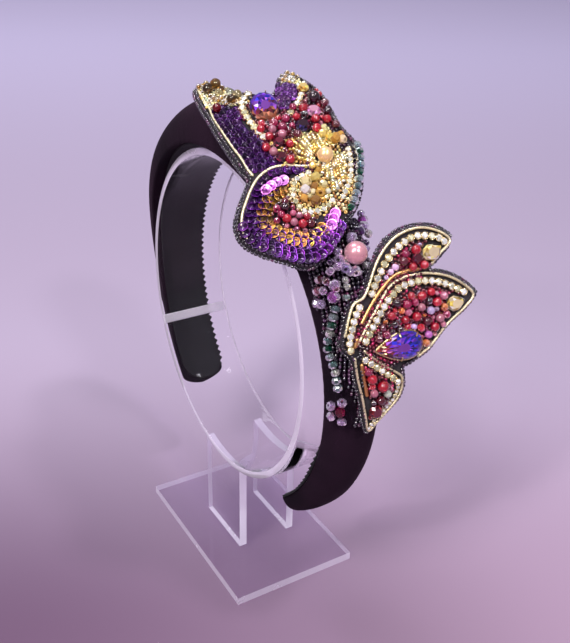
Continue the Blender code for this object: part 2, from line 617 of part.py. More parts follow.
def make_vine_and_flowers(front):
    upper = [front.place(along, across, SEAT + VINE_RADIUS) for along, across in VINE_UPPER]
    make_bead_string("vine_upper", upper, VINE_RADIUS, "teal")
    lower = [patch_place(angle, turn, VINE_RADIUS) for angle, turn in VINE_LOWER]
    make_bead_string("vine_lower", lower, VINE_RADIUS, "teal")

    angle, turn, radius = PINK_PEARL["angle"], PINK_PEARL["turn"], PINK_PEARL["radius"]
    make_pearl("pink_pearl", patch_place(angle, turn, radius), radius, "pearl_pink")
    _, normal, _ = inner_curve(angle)
    petals = petal_places(patch_place(angle, turn, FLOWER_PETALS["radius"]), normal, FLOWER_PETALS)
    make_bead_string("pearl_flower", petals, FLOWER_PETALS["radius"], "lilac")

    angle, turn, radius = LOWER_FLOWER["angle"], LOWER_FLOWER["turn"], LOWER_FLOWER["radius"]
    middle = patch_place(angle, turn, radius)
    outward = (middle - band_point(angle, turn, 0.0)).normalized()
    make_bead_string("lower_flower", [middle] + petal_places(middle, outward, LOWER_FLOWER), radius, "lilac")

    for name, group in (("buds", BUDS), ("lilac_cluster", LILAC_CLUSTER),
                        ("violet_crystals", VIOLET_CRYSTALS), ("flower_drops", FLOWER_DROPS)):
        places = [patch_place(angle, turn, group["radius"]) for angle, turn in group["places"]]
        make_bead_string(name, places, group["radius"], "lilac")


# The stand

def make_stand():
    bpy.ops.mesh.primitive_cube_add(size=1.0, location=(0.0, 0.0, BASE_THICK / 2))
    base = bpy.context.object
    base.name = "stand_base"
    base.data.transform(base.matrix_world.to_3x3().to_4x4())
    for vert in base.data.vertices:
        vert.co = (vert.co.x * BASE_WIDTH, vert.co.y * BASE_DEPTH, vert.co.z * BASE_THICK)
    for holder in list(base.users_collection):
        holder.objects.unlink(base)
    bpy.data.collections["velvet_headband"].objects.link(base)
    base.data.materials.append(finish("acrylic"))

    bm = bmesh.new()
    bmesh.ops.create_circle(bm, segments=RING_SIDES, radius=1.0, cap_ends=False)
    rim = bm.edges[:]
    for vert in bm.verts:
        vert.co = (vert.co.x * RING_HALF_WIDTH, RING_FRONT_Y, RING_CENTRE_Z + vert.co.y * RING_HALF_HEIGHT)
    grown = bmesh.ops.extrude_edge_only(bm, edges=rim)
    rear = [g for g in grown["geom"] if isinstance(g, bmesh.types.BMVert)]
    bmesh.ops.translate(bm, verts=rear, vec=(0.0, RING_REAR_Y - RING_FRONT_Y, 0.0))
    middle = Vector((0.0, 0.0, RING_CENTRE_Z))
    for face in bm.faces:
        if face.normal.dot(face.calc_center_median() - middle) < 0:
            face.normal_flip()
    mesh = bpy.data.meshes.new("stand_ring")
    bm.to_mesh(mesh)
    bm.free()
    ring = add_object("stand_ring", mesh, "acrylic")
    wall = ring.modifiers.new("wall", "SOLIDIFY")
    wall.thickness = RING_WALL
    wall.offset = -1.0
    wall.use_even_offset = True

    for name, middle_y in (("stand_front_upright", UPRIGHT_FRONT_Y), ("stand_rear_upright", UPRIGHT_REAR_Y)):
        make_upright(name, middle_y)


def make_upright(name, middle_y):
    """A plate whose top follows the underside of the ring."""
    half = UPRIGHT_WIDTH / 2
    outline = [Vector((-half, BASE_THICK + GAP)), Vector((half, BASE_THICK + GAP))]
    steps = 10
    for k in range(steps + 1):
        x = half - UPRIGHT_WIDTH * k / steps
        drop = (RING_HALF_HEIGHT + 2 * GAP) * math.sqrt(1 - (x / (RING_HALF_WIDTH + 2 * GAP))**2)
        outline.append(Vector((x, RING_CENTRE_Z - drop)))
    bm = flat_prism(outline, middle_y - UPRIGHT_THICK / 2, middle_y + UPRIGHT_THICK / 2)
    for vert in bm.verts:
        vert.co = (vert.co.x, vert.co.z, vert.co.y)
    add_mesh(name, bm, "acrylic", 0.3)


def make_wings():
    front, rear = Sheet(**FRONT_SHEET), Sheet(**REAR_SHEET)
    sheets = {"front": front, "rear": rear}
    make_plate("front_wing_backing", front, FRONT_BACKING, -BACKING, 0.0, "felt", FRONT_CORNERS)
    make_plate("rear_wing_backing", rear, REAR_BACKING, -BACKING, 0.0, "felt", REAR_CORNERS)

    make_wire("forewing_wire", front, FOREWING_WIRE, WIRE_RADIUS, "gold")
    make_wire("hindwing_wire", front, HINDWING_WIRE, WIRE_RADIUS, "gold")
    make_wire("rear_upper_wire", rear, REAR_UPPER_WIRE, WIRE_RADIUS, "gold")
    make_wire("rear_middle_wire", rear, REAR_MIDDLE_WIRE, WIRE_RADIUS, "gold")
    make_wire("rear_lower_wire", rear, REAR_LOWER_WIRE, WIRE_RADIUS, "gold")
    make_wire("rear_bullion", rear, REAR_BULLION, BULLION_RADIUS, "copper")

    make_chain("forewing_chain", front, FOREWING_CHAIN)
    make_chain("lobe_chain", front, LOBE_CHAIN)
    make_chain("edge_chain", front, EDGE_CHAIN)
    make_chain("hindwing_chain", front, HINDWING_CHAIN)
    make_chain("rear_upper_chain", rear, REAR_UPPER_CHAIN)
    make_chain("rear_root_chain", rear, REAR_ROOT_CHAIN)
    make_chain("rear_middle_chain", rear, REAR_MIDDLE_CHAIN)
    make_chain("rear_lower_chain", rear, REAR_LOWER_CHAIN)

    for name, (side, colour, height, outline) in FLAT_FIELDS.items():
        make_plate(name, sheets[side], outline, SEAT, height, colour, steps=1)
    for name, (side, colour, outline) in BEAD_FIELDS.items():
        make_bead_field(name, sheets[side], outline, colour)

    for name, (side, colour, centre, half_along, half_across, height) in CUT_STONES.items():
        sides = ROUND_CRYSTAL_SIDES if name == "round_crystal" else STONE_SIDES
        outline = round_outline(centre, half_along, half_across, sides)
        make_stone(name, sheets[side], outline, height, colour)
    drop = DROP_CRYSTAL
    outline = drop_outline(drop["centre"], drop["half_length"], drop["half_width"], drop["sides"])
    make_stone("drop_crystal", rear, outline, drop["height"], "violet")
    centre = front.place(*PEACH_PEARL["place"], SEAT + PEACH_PEARL["radius"])
    make_pearl("peach_pearl", centre, PEACH_PEARL["radius"], "pearl_peach")
    make_vine_and_flowers(front)


def main():
    clear_scene()
    if "velvet_headband" not in bpy.data.collections:
        group = bpy.data.collections.new("velvet_headband")
        bpy.context.scene.collection.children.link(group)
    make_stand()
    make_lining()
    make_velvet_band()
    make_bead_patch()
    make_wings()


main()
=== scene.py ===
import math
import random

import bmesh
import bpy
import numpy as np
from mathutils import Matrix, Vector


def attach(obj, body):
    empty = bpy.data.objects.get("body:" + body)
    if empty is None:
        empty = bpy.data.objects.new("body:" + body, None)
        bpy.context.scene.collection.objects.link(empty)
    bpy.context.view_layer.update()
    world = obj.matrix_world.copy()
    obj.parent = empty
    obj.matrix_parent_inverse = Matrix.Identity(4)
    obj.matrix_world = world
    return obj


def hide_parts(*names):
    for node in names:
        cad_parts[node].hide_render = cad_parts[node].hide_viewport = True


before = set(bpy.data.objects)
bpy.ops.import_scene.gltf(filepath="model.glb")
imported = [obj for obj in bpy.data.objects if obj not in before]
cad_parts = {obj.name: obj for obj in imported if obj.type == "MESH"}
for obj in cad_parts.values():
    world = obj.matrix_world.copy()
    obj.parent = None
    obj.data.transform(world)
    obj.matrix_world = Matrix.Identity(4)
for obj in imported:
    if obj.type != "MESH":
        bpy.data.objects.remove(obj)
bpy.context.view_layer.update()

# A padded velvet headband with beaded wings, on a clear acrylic stand. Tables are in millimetres.
mm = 0.001
white = (1, 1, 1)
fullTurn = 2 * math.pi
print("headband: frame loaded")


# Small helpers

def unit(vector):
    return vector / np.linalg.norm(vector)


def swing(first, second, angle):
    # the first way turned towards the second
    return first * math.cos(angle) + second * math.sin(angle)


def square(axis, other):
    # three square ways, the last along a bead's hole
    across = unit(np.cross(axis, other))
    return across, np.cross(axis, across), axis


def smoothLine(points, steps, closed=False, corners=()):
    # a rounded line through the points, sharp at the numbered corners
    dots = [np.array(p, float) for p in points]
    count = len(dots)
    line = []
    for i in range(count if closed else count - 1):
        a, b = dots[i], dots[(i + 1) % count]
        before = dots[i - 1] if closed or i else a
        after = dots[(i + 2) % count] if closed or i + 2 < count else b
        slopeA = (b - a) if i in corners else (b - before) / 2
        slopeB = (b - a) if (i + 1) % count in corners else (after - a) / 2
        for k in range(steps):
            t = k / steps
            line.append(a * (2*t**3 - 3*t**2 + 1) + slopeA * (t**3 - 2*t**2 + t)
                        + b * (3*t**2 - 2*t**3) + slopeB * (t**3 - t**2))
    if not closed:
        line.append(dots[-1])
    return np.array(line)


def evenly(line, spacing, closed=False):
    # points at equal steps along a line, as near to the spacing as fits
    line = np.asarray(line, float)
    if closed:
        line = np.vstack([line, line[:1]])
    lengths = np.concatenate([[0], np.cumsum(np.linalg.norm(np.diff(line, axis=0), axis=1))])
    count = max(2, round(lengths[-1] / spacing))
    targets = np.linspace(0, lengths[-1], count + 1)[:count if closed else count + 1]
    return np.stack([np.interp(targets, lengths, line[:, k]) for k in range(line.shape[1])], axis=1)


def headings(line, closed=False):
    steps = np.roll(line, -1, axis=0) - np.roll(line, 1, axis=0) if closed else np.gradient(line, axis=0)
    return steps / np.maximum(np.linalg.norm(steps, axis=1), 1e-9)[:, None]


def leftWays(line, closed=False):
    ways = headings(line, closed)
    return np.stack([-ways[:, 1], ways[:, 0]], axis=1)


def beside(line, distance):
    # the line moved to its left by the distance, without the loops that tight bends would make
    moved = line + leftWays(line) * distance
    gaps = np.linalg.norm(moved[:, None] - line[None], axis=2).min(axis=1)
    return moved[gaps > abs(distance) * 0.96]


def insideShape(points, outline):
    x, y = np.asarray(points, float).T
    inside = np.zeros(len(x), bool)
    for (ax, ay), (bx, by) in zip(outline, np.roll(outline, -1, axis=0)):
        if ay != by:
            inside ^= ((ay > y) != (by > y)) & (x < (bx - ax) * (y - ay) / (by - ay) + ax)
    return inside


def edgeDistance(points, outline):
    points = np.asarray(points, float)
    best = np.full(len(points), 1e9)
    for a, b in zip(outline, np.roll(outline, -1, axis=0)):
        along = b - a
        share = np.clip(((points - a) @ along) / max(along @ along, 1e-9), 0, 1)
        best = np.minimum(best, np.linalg.norm(points - a - share[:, None] * along, axis=1))
    return best


def inwardWays(outline):
    ways = leftWays(outline, closed=True)
    return ways if insideShape([outline[3] + ways[3] * 0.4], outline)[0] else -ways


def shade(colour, spread, rng):
    lift = 1 + rng.uniform(-spread, spread)
    return tuple(min(1.0, max(0.0, c * lift * (1 + rng.uniform(-spread, spread) * 0.35))) for c in colour)


def anyOf(names, spread, rng):
    # one of the named colours, a little lighter or darker
    return shade(palette[rng.choice(names)], spread, rng)


# Pieces: each rides the one body and takes the place of its plain CAD nodes

def nodeOf(name):
    # goldLobeBeads stands for the node gold_lobe_beads
    return "".join("_" + c.lower() if c.isupper() else c for c in name)


def addPiece(name, mesh, finish, nodes=()):
    piece = bpy.data.objects.new(name, mesh)
    bpy.context.scene.collection.objects.link(piece)
    mesh.materials.append(finishes[finish])
    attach(piece, "root")
    if nodes:
        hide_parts(*nodes)
    return piece


class Batch:
    # one joined piece made of many small shapes, each with a colour of its own
    def __init__(self):
        self.places = []
        self.faces = []
        self.tints = []
        self.count = 0

    def add(self, shape, place, ways, size, tint=white):
        # place in metres, size in millimetres along the three ways, one tint for all or for each face; a single tint
        # is multiplied by the shape's painted highlight or shade on each face
        points, faces, paintedLights = shape
        self.places.append(points @ (np.array(ways) * (np.ones(3) * size * mm)[:, None]) + place)
        self.faces += [tuple(i + self.count for i in face) for face in faces]
        self.tints += tint if isinstance(tint, list) else [tuple(c * s for c in tint) for s in paintedLights]
        self.count += len(points)

    def build(self, name, finish, slotName, nodes=None, smooth=True):
        # without a list of nodes, it stands for the node of its own name
        mesh = bpy.data.meshes.new(name)
        mesh.from_pydata(np.vstack(self.places).tolist(), [], self.faces)
        paint = mesh.color_attributes.new("tint", "FLOAT_COLOR", "CORNER")
        sizes = [len(face) for face in self.faces]
        colours = np.repeat(np.array([(*t[:3], 1.0) for t in self.tints], np.float32), sizes, axis=0)
        paint.data.foreach_set("color", colours.ravel())
        mesh.polygons.foreach_set("use_smooth", [smooth] * len(self.faces))
        return addPiece(name, mesh, finish, [nodeOf(name)] if nodes is None else nodes)


def skinFaces(count, width, looped=False):
    # faces over rows of points, closed round each row; the ends are filled unless the rows run in a loop
    faces = []
    for i in range(count if looped else count - 1):
        n = (i + 1) % count
        for k in range(width):
            j = (k + 1) % width
            faces.append((i*width + k, i*width + j, n*width + j, n*width + k))
    if not looped:
        faces += [tuple(range(width))[::-1], tuple((count - 1)*width + k for k in range(width))]
    return faces


def gridPiece(name, rows, finish, nodes=(), looped=False):
    rows = np.asarray(rows)
    mesh = bpy.data.meshes.new(name)
    mesh.from_pydata(rows.reshape(-1, 3).tolist(), [], skinFaces(*rows.shape[:2], looped))
    mesh.polygons.foreach_set("use_smooth", [True] * len(mesh.polygons))
    faceOut(mesh)
    return addPiece(name, mesh, finish, nodes)


def faceOut(mesh):
    shell = bmesh.new()
    shell.from_mesh(mesh)
    bmesh.ops.recalc_face_normals(shell, faces=shell.faces)
    if shell.calc_volume(signed=True) < 0:
        bmesh.ops.reverse_faces(shell, faces=shell.faces)
    shell.to_mesh(mesh)
    shell.free()


# Unit shapes: each is points, faces and a painted brightness for each face, a painted highlight or shade

def turned(profile, sides, closedProfile=True):
    # a profile of (radius, height) turned round the z way
    width = len(profile)
    points = []
    faces = []
    for k in range(sides):
        angle = fullTurn * k / sides
        points += [(r * math.cos(angle), r * math.sin(angle), z) for r, z in profile]
        j = (k + 1) % sides
        for i in range(width if closedProfile else width - 1):
            m = (i + 1) % width
            faces.append((k*width + i, j*width + i, j*width + m, k*width + m))
    if not closedProfile:
        faces.append(tuple(k*width for k in range(sides))[::-1])
        faces.append(tuple(k*width + width - 1 for k in range(sides)))
    return np.array(points), faces, [1.0] * len(faces)


def ball(sides, rings):
    profile = [(math.sin(math.pi * k / rings), -math.cos(math.pi * k / rings)) for k in range(1, rings)]
    return turned(profile, sides, closedProfile=False)


def roundRim(sides):
    return [(math.cos(fullTurn * k / sides), math.sin(fullTurn * k / sides)) for k in range(sides)]


def chaton(sides, seed, table, crown, girdle=0.16):
    # table, star facets, main facets, girdle and a shallow pavilion; the girdle is at z 0. Each facet gets a painted
    # brightness: random painted glints on the crown, painted shade on the girdle and pavilion
    rng = random.Random(seed)
    outline = np.array(roundRim(sides))
    between = (outline + np.roll(outline, -1, axis=0)) / 2
    points = [(x, y, -girdle) for x, y in outline] + [(x, y, 0) for x, y in outline]
    points += [(x * 0.84, y * 0.84, crown * 0.55) for x, y in between * 1.04]
    points += [(x * table, y * table, crown) for x, y in outline]
    points.append((0, 0, -girdle - 0.45))
    low, rim, star, top, tip = (sides * i for i in range(5))
    faces, paintedLights = [], []
    for k in range(sides):
        j = (k + 1) % sides
        faces += [(low + k, low + j, rim + j, rim + k), (rim + k, rim + j, star + k),
                  (rim + j, star + j, top + j, star + k), (star + k, top + j, top + k), (low + j, low + k, tip)]
        paintedLights += [0.5, rng.uniform(0.35, 1.25), rng.uniform(0.5, 1.5), rng.uniform(0.3, 1.6), 0.4]
    faces.append(tuple(range(top, top + sides)))
    return np.array(points), faces, paintedLights + [1.0]


def brilliant(outline, seed, levels, girdle=0.14, depth=0.45):
    # rings of triangular facets, each ring turned half a step from the last; levels are (size, height). Each facet
    # gets a painted brightness: random painted glints and shade, with painted shade on the girdle
    rng = random.Random(seed)
    outline = np.array(outline, float)
    sides = len(outline)
    between = (outline + np.roll(outline, -1, axis=0)) / 2
    points = [(x, y, -girdle) for x, y in outline] + [(x, y, 0) for x, y in outline]
    for i, (size, height) in enumerate(levels):
        points += [(x * size, y * size, height) for x, y in (outline if i % 2 else between)]
    points.append((0, 0, -girdle - depth))
    faces, paintedLights = [], []
    for k in range(sides):
        j = (k + 1) % sides
        faces += [(k, j, sides + j, sides + k), (j, k, len(points) - 1)]
        paintedLights += [0.5, rng.uniform(0.3, 1.4)]
        for i in range(len(levels)):
            low, high = (i + 1) * sides, (i + 2) * sides
            if i % 2:
                faces += [(low + k, high + j, high + k), (low + k, low + j, high + j)]
            else:
                faces += [(low + k, low + j, high + k), (low + j, high + j, high + k)]
            paintedLights += [rng.uniform(0.35, 1.5), rng.uniform(0.25, 1.2)]
    top = (len(levels) + 1) * sides
    faces.append(tuple(range(top, top + sides)))
    return np.array(points), faces, paintedLights + [0.8]


def sequin(sides=16):
    # a shallow dish with a hole, with a painted highlight on its rim and on one side, and painted shade underneath
    points, faces, _ = turned([(0.11, 0.05), (0.52, 0.04), (0.80, 0.10), (1.0, 0.28), (1.0, 0.22), (0.80, 0.04),
                               (0.52, -0.03), (0.11, -0.01)], sides)
    # painted highlight, strongest on one side of the dish
    paintedGlint = [0.55 + 1.9 * max(0, math.cos(fullTurn * (k + 0.5) / sides))**2 for k in range(sides)]
    return points, faces, [s * c for c in paintedGlint for s in (0.8, 0.62, 1.3, 2.7, 0.9, 0.5, 0.5, 0.6)]


shapes = {
    "seed": turned([(0.40, 0.44), (0.74, 0.60), (1.0, 0.26), (1.0, -0.26), (0.74, -0.60), (0.40, -0.44)], 8),
    "dropBead": turned([(0.30, 0.70), (0.66, 0.80), (0.94, 0.42), (1.0, 0), (0.94, -0.42), (0.66, -0.80),
                        (0.30, -0.70)], 12),
    "ball": ball(12, 8), "smallBall": ball(8, 6), "pearl": ball(40, 28),
    "bugle": turned([(0.5, 1), (0.95, 0.94), (0.95, -0.94), (0.5, -1)], 6),
    "sequin": sequin(),
    "cutBead": turned([(0.34, 0.74), (0.70, 0.78), (1.0, 0.34), (1.0, -0.34), (0.70, -0.78), (0.34, -0.74)], 8),
    "chaton": chaton(8, seed=4, table=0.55, crown=0.40),
    "cup": turned([(0.55, 0), (0.98, 0.05), (1.06, 0.55), (1.06, 0.86), (0.96, 0.86), (0.94, 0.4), (0.55, 0.3)], 10),
}


# Colours

palette = {
    "plumBlack": (0.012, 0.006, 0.016), "plum": (0.075, 0.018, 0.055),
    "gold": (0.86, 0.58, 0.17), "paleGold": (0.92, 0.77, 0.40), "ivory": (0.92, 0.86, 0.66),
    "topaz": (0.62, 0.34, 0.06), "bronze": (0.20, 0.10, 0.03), "copper": (0.36, 0.15, 0.035),
    "amber": (0.44, 0.21, 0.04), "orange": (0.75, 0.20, 0.03), "crimson": (0.56, 0.006, 0.026),
    "raspberry": (0.38, 0.008, 0.075), "wine": (0.14, 0.006, 0.022), "garnet": (0.035, 0.004, 0.012),
    "pink": (0.66, 0.16, 0.28), "rose": (0.62, 0.20, 0.29), "magenta": (0.78, 0.20, 0.74),
    "lilac": (0.76, 0.55, 0.86), "violet": (0.062, 0.007, 0.112), "deepViolet": (0.030, 0.004, 0.055),
    "lightViolet": (0.10, 0.016, 0.16), "clear": (0.90, 0.88, 0.80), "teal": (0.30, 0.46, 0.48),
    "greyBlue": (0.58, 0.68, 0.72), "emerald": (0.010, 0.16, 0.085),
}


# Shader groups shared by several finishes

def setSocket(tree, socket, value):
    if isinstance(value, bpy.types.NodeSocket):
        tree.links.new(value, socket)
    elif socket.type == "RGBA":
        socket.default_value = (*value, 1)
    else:
        socket.default_value = value


def addNode(tree, kind, **inputs):
    node = tree.nodes.new("ShaderNode" + kind)
    for socketName, value in inputs.items():
        setSocket(tree, node.inputs[socketName.replace("_", " ")], value)
    return node


def mathNode(tree, operation, a, b):
    node = addNode(tree, "Math")
    node.operation = operation
    setSocket(tree, node.inputs[0], a)
    setSocket(tree, node.inputs[1], b)
    return node.outputs[0]


def mixColours(tree, factor, first, second, blend="MIX"):
    mix = addNode(tree, "Mix")
    mix.data_type, mix.blend_type = "RGBA", blend
    for socketName, value in (("Factor", factor), ("A", first), ("B", second)):
        setSocket(tree, mix.inputs[socketName], value)
    return mix.outputs["Result"]


def newGroup(name, inputs, outputs):
    group = bpy.data.node_groups.new(name, "ShaderNodeTree")
    for socketName, value in inputs.items():
        socket = group.interface.new_socket(socketName, in_out="INPUT", socket_type="NodeSocketFloat")
        socket.default_value = value
    for socketName in outputs:
        group.interface.new_socket(socketName, in_out="OUTPUT", socket_type="NodeSocketFloat")
    return group, group.nodes.new("NodeGroupInput").outputs, group.nodes.new("NodeGroupOutput").inputs


def placeGroup(tree, group, **values):
    node = addNode(tree, "Group")
    node.node_tree = group
    for socketName, value in values.items():
        node.inputs[socketName].default_value = value
    return node.outputs


def makeFibreGroup():
    # short fibres over a slow drift: the mask is the drift, the height is both
    group, start, end = newGroup("fibreNoise", {"Scale": 900, "Drift": 40, "Sharpness": 1.0}, ["Mask", "Height"])
    place = addNode(group, "TexCoord").outputs["Object"]
    fine = addNode(group, "TexNoise", Vector=place, Scale=start["Scale"], Detail=3).outputs["Fac"]
    slow = addNode(group, "TexNoise", Vector=place, Scale=start["Drift"], Detail=2).outputs["Fac"]
    sharp = mathNode(group, "POWER", fine, start["Sharpness"])
    setSocket(group, end["Mask"], slow)
    setSocket(group, end["Height"], mathNode(group, "ADD", sharp, mathNode(group, "MULTIPLY", slow, 0.6)))
    return group


def makeWearGroup():
    # handling marks: duller patches between the low and the high roughness
    group, start, end = newGroup("handWear", {"Scale": 120, "Low": 0.15, "High": 0.35}, ["Value", "Height"])
    place = addNode(group, "TexCoord").outputs["Object"]
    cloud = addNode(group, "TexNoise", Vector=place, Scale=start["Scale"], Detail=4).outputs["Fac"]
    spread = addNode(group, "MapRange", Value=cloud, From_Min=0.35, From_Max=0.70, To_Min=start["Low"],
                     To_Max=start["High"])
    setSocket(group, end["Value"], spread.outputs["Result"])
    setSocket(group, end["Height"], cloud)
    return group


fibreNoise = makeFibreGroup()
handWear = makeWearGroup()


# Finishes

def newFinish(name, colour, **sockets):
    material = bpy.data.materials.new(name)
    material.use_nodes = True
    shader = material.node_tree.nodes["Principled BSDF"]
    for socketName, value in {"Base Color": colour, **sockets}.items():
        setSocket(material.node_tree, shader.inputs[socketName.replace("_", " ")], value)
    return material, material.node_tree, shader.inputs


def addBump(tree, surface, height, strength, distance):
    bump = addNode(tree, "Bump", Strength=strength, Distance=distance, Height=height)
    tree.links.new(bump.outputs["Normal"], surface["Normal"])


def addWear(tree, surface, scale, low, high, bumpHeight=0.0):
    wear = placeGroup(tree, handWear, Scale=scale, Low=low, High=high)
    tree.links.new(wear["Value"], surface["Roughness"])
    if bumpHeight:
        addBump(tree, surface, wear["Height"], 0.4, bumpHeight)
    return wear["Height"]


def makeCloth(name, dark, light, fibre, bump, drift=None, ribbed=False, **sockets):
    # the colour drifts from dark to light, and the fibres stand up as a bump of (strength, distance)
    material, tree, surface = newFinish(name, dark, **sockets)
    noise = placeGroup(tree, fibreNoise, **fibre)
    share, height = noise["Mask"], noise["Height"]
    if drift:
        share = addNode(tree, "MapRange", Value=share, From_Min=drift[0], From_Max=drift[1]).outputs["Result"]
    if ribbed:
        # fine ribs across the tape, from a wave along the band's own length
        length = addNode(tree, "UVMap")
        length.uv_map = "tape"
        wave = addNode(tree, "TexWave", Vector=length.outputs["UV"], Scale=0.62, Distortion=0.4)
        wave.bands_direction = "X"
        height = mathNode(tree, "ADD", wave.outputs["Fac"], height)
    setSocket(tree, surface["Base Color"], mixColours(tree, share, dark, light))
    addBump(tree, surface, height, *bump)
    return material


def makeAcrylic(name, colour, low, high, **sockets):
    # clear plastic that casts a light shadow, as thin acrylic lets the light through
    material, tree, surface = newFinish(name, colour, **sockets)
    addWear(tree, surface, 60, low, high)
    clear = addNode(tree, "BsdfTransparent", Color=(0.90, 0.88, 0.93))
    rays = addNode(tree, "LightPath").outputs
    mix = addNode(tree, "MixShader", Fac=mathNode(tree, "MAXIMUM", rays["Is Shadow Ray"], rays["Is Diffuse Ray"]))
    tree.links.new(tree.nodes["Principled BSDF"].outputs["BSDF"], mix.inputs[1])
    tree.links.new(clear.outputs["BSDF"], mix.inputs[2])
    tree.links.new(mix.outputs["Shader"], tree.nodes["Material Output"].inputs["Surface"])
    return material


def makeMetal(name, colour, low, high, metallic=1.0):
    material, tree, surface = newFinish(name, colour, Metallic=metallic)
    height = addWear(tree, surface, 300, low, high, 0.00004)
    setSocket(tree, surface["Base Color"], mixColours(tree, height, tuple(c * 0.62 for c in colour), colour))
    return material


def makeTinted(name, low, high, **sockets):
    # colour from each bead's own tint, a little cloudy, with worn gloss
    material, tree, surface = newFinish(name, white, **sockets)
    height = addWear(tree, surface, 500, low, high)
    tint = addNode(tree, "Attribute")
    tint.attribute_name = "tint"
    setSocket(tree, surface["Base Color"],
              mixColours(tree, height, tint.outputs["Color"], (0.72, 0.72, 0.76), "MULTIPLY"))
    return material


def makePearl(name, colour, glow):
    material, tree, surface = newFinish(name, colour, Metallic=0.45, Coat_Weight=1.0, Coat_Roughness=0.05,
                                        Sheen_Weight=0.25, Sheen_Tint=glow)
    height = addWear(tree, surface, 240, 0.24, 0.34)
    setSocket(tree, surface["Base Color"], mixColours(tree, height, tuple(c * 0.9 for c in colour), colour))
    return material


finishes = {
    "velvet": makeCloth("velvetPile", (0.004, 0.0018, 0.005), (0.014, 0.005, 0.013),
                        {"Scale": 1400, "Drift": 26, "Sharpness": 1.4}, (0.55, 0.0004), drift=(0.38, 0.66),
                        Roughness=0.92, Sheen_Weight=0.12, Sheen_Roughness=0.34, Sheen_Tint=(0.22, 0.08, 0.18),
                        Specular_IOR_Level=0.12),
    "tape": makeCloth("grosgrain", (0.006, 0.0055, 0.007), (0.018, 0.017, 0.021),
                      {"Scale": 1600, "Drift": 90, "Sharpness": 1.0}, (0.5, 0.00015), ribbed=True,
                      Roughness=0.80, Specular_IOR_Level=0.2, Sheen_Weight=0.04, Sheen_Roughness=0.5),
    "felt": makeCloth("blackFelt", (0.006, 0.004, 0.008), (0.024, 0.016, 0.024),
                      {"Scale": 1100, "Drift": 130, "Sharpness": 0.8}, (0.8, 0.0003),
                      Roughness=0.95, Sheen_Weight=0.3, Sheen_Roughness=0.5),
    "acrylic": makeAcrylic("clearAcrylic", (0.985, 0.98, 0.99), 0.01, 0.04, IOR=1.10, Transmission_Weight=1.0,
                           Coat_Weight=0.22, Coat_Roughness=0.02),
    "acrylicEdge": makeAcrylic("acrylicEdge", (0.90, 0.84, 0.97), 0.12, 0.30, IOR=1.2, Transmission_Weight=0.50,
                               Coat_Weight=0.6, Coat_Roughness=0.05),
    "frosted": makeAcrylic("frostedSeam", (0.93, 0.91, 0.95), 0.45, 0.65, IOR=1.3, Transmission_Weight=0.6),
    "goldThread": makeMetal("goldThread", (0.92, 0.80, 0.52), 0.26, 0.42, metallic=0.7),
    "cup": makeMetal("brassCup", (0.86, 0.68, 0.36), 0.18, 0.34),
    "bullion": makeMetal("copperBullion", (0.78, 0.42, 0.16), 0.25, 0.42),
    "seed": makeTinted("seedGlass", 0.07, 0.16, IOR=1.75, Coat_Weight=1.0, Coat_Roughness=0.03),
    "goldBead": makeTinted("goldBeads", 0.12, 0.26, Metallic=0.80),
    "glass": makeTinted("glassBeads", 0.04, 0.12, Coat_Weight=1.0, Coat_Roughness=0.02, IOR=1.5,
                        Transmission_Weight=0.45),
    "clearGlass": makeTinted("clearGlassBeads", 0.03, 0.08, Transmission_Weight=0.88, IOR=1.50),
    "foil": makeTinted("sequinFoil", 0.24, 0.36, Metallic=0.70, Coat_Weight=0.12, Coat_Roughness=0.05),
    "rhinestone": makeTinted("rhinestones", 0.03, 0.10, Metallic=0.35, Coat_Weight=1.0, Coat_Roughness=0.02),
    "crystal": makeTinted("cutCrystal", 0.02, 0.07, Metallic=0.30, Coat_Weight=0.8, Coat_Roughness=0.01),
    "peachPearl": makePearl("peachPearl", (0.90, 0.58, 0.27), (1.0, 0.85, 0.6)),
    "pinkPearl": makePearl("pinkPearl", (0.66, 0.30, 0.35), (1.0, 0.7, 0.75)),
}
print("headband: finishes made")


# The padded band: its inner face is a slightly turned ellipse, angles run from the band's own middle

band = {
    "innerHalfA": 74.0, "innerHalfB": 78.8, "centreX": 3.1, "centreZ": 120.7, "turn": 20, "middle": 24,
    "halfAngle": 142, "endRound": 3.5, "round": 2.4, "crown": 4.5, "pad": 7.0, "padEnds": 9.5, "seat": 1.5,
    "padReach": 144, "crownReach": 28, "frontWidth": 10.5, "frontMore": 9.0, "frontAt": -8, "frontReach": 52,
    "rearWidth": 11.0, "rearMore": 4.0, "rearReach": 45, "swellAt": -60, "swellReach": 32, "swellHeight": 2.0,
    "swellWidth": 4.0, "stations": 330, "around": 56, "puckers": 7, "puckerDepth": 0.022, "endHeight": 0.62,
}
tape = {"length": 380, "pitch": 3.1, "peak": 1.7, "valley": 0.3, "thick": 0.7, "hidden": -1.2, "overRing": 1.2,
        "endRound": 8, "endGap": 0.6, "shownFrom": 98}


def innerCurve(angle):
    # a point on the inner face, the way out of the band and the way along it
    t = math.radians(angle + band["middle"])
    c, s = math.cos(math.radians(band["turn"])), math.sin(math.radians(band["turn"]))
    side, up = band["innerHalfA"] * math.sin(t), band["innerHalfB"] * math.cos(t)
    sideStep, upStep = band["innerHalfA"] * math.cos(t), -band["innerHalfB"] * math.sin(t)
    point = np.array([band["centreX"] + c*side - s*up, 0, band["centreZ"] + s*side + c*up]) * mm
    along = unit(np.array([c*sideStep - s*upStep, 0, s*sideStep + c*upStep]))
    return point, np.array([-along[2], 0, along[0]])


def leftSwell(angle):
    # the shoulder on the left is fuller and wider
    return math.exp(-((angle - band["swellAt"]) / band["swellReach"])**2)


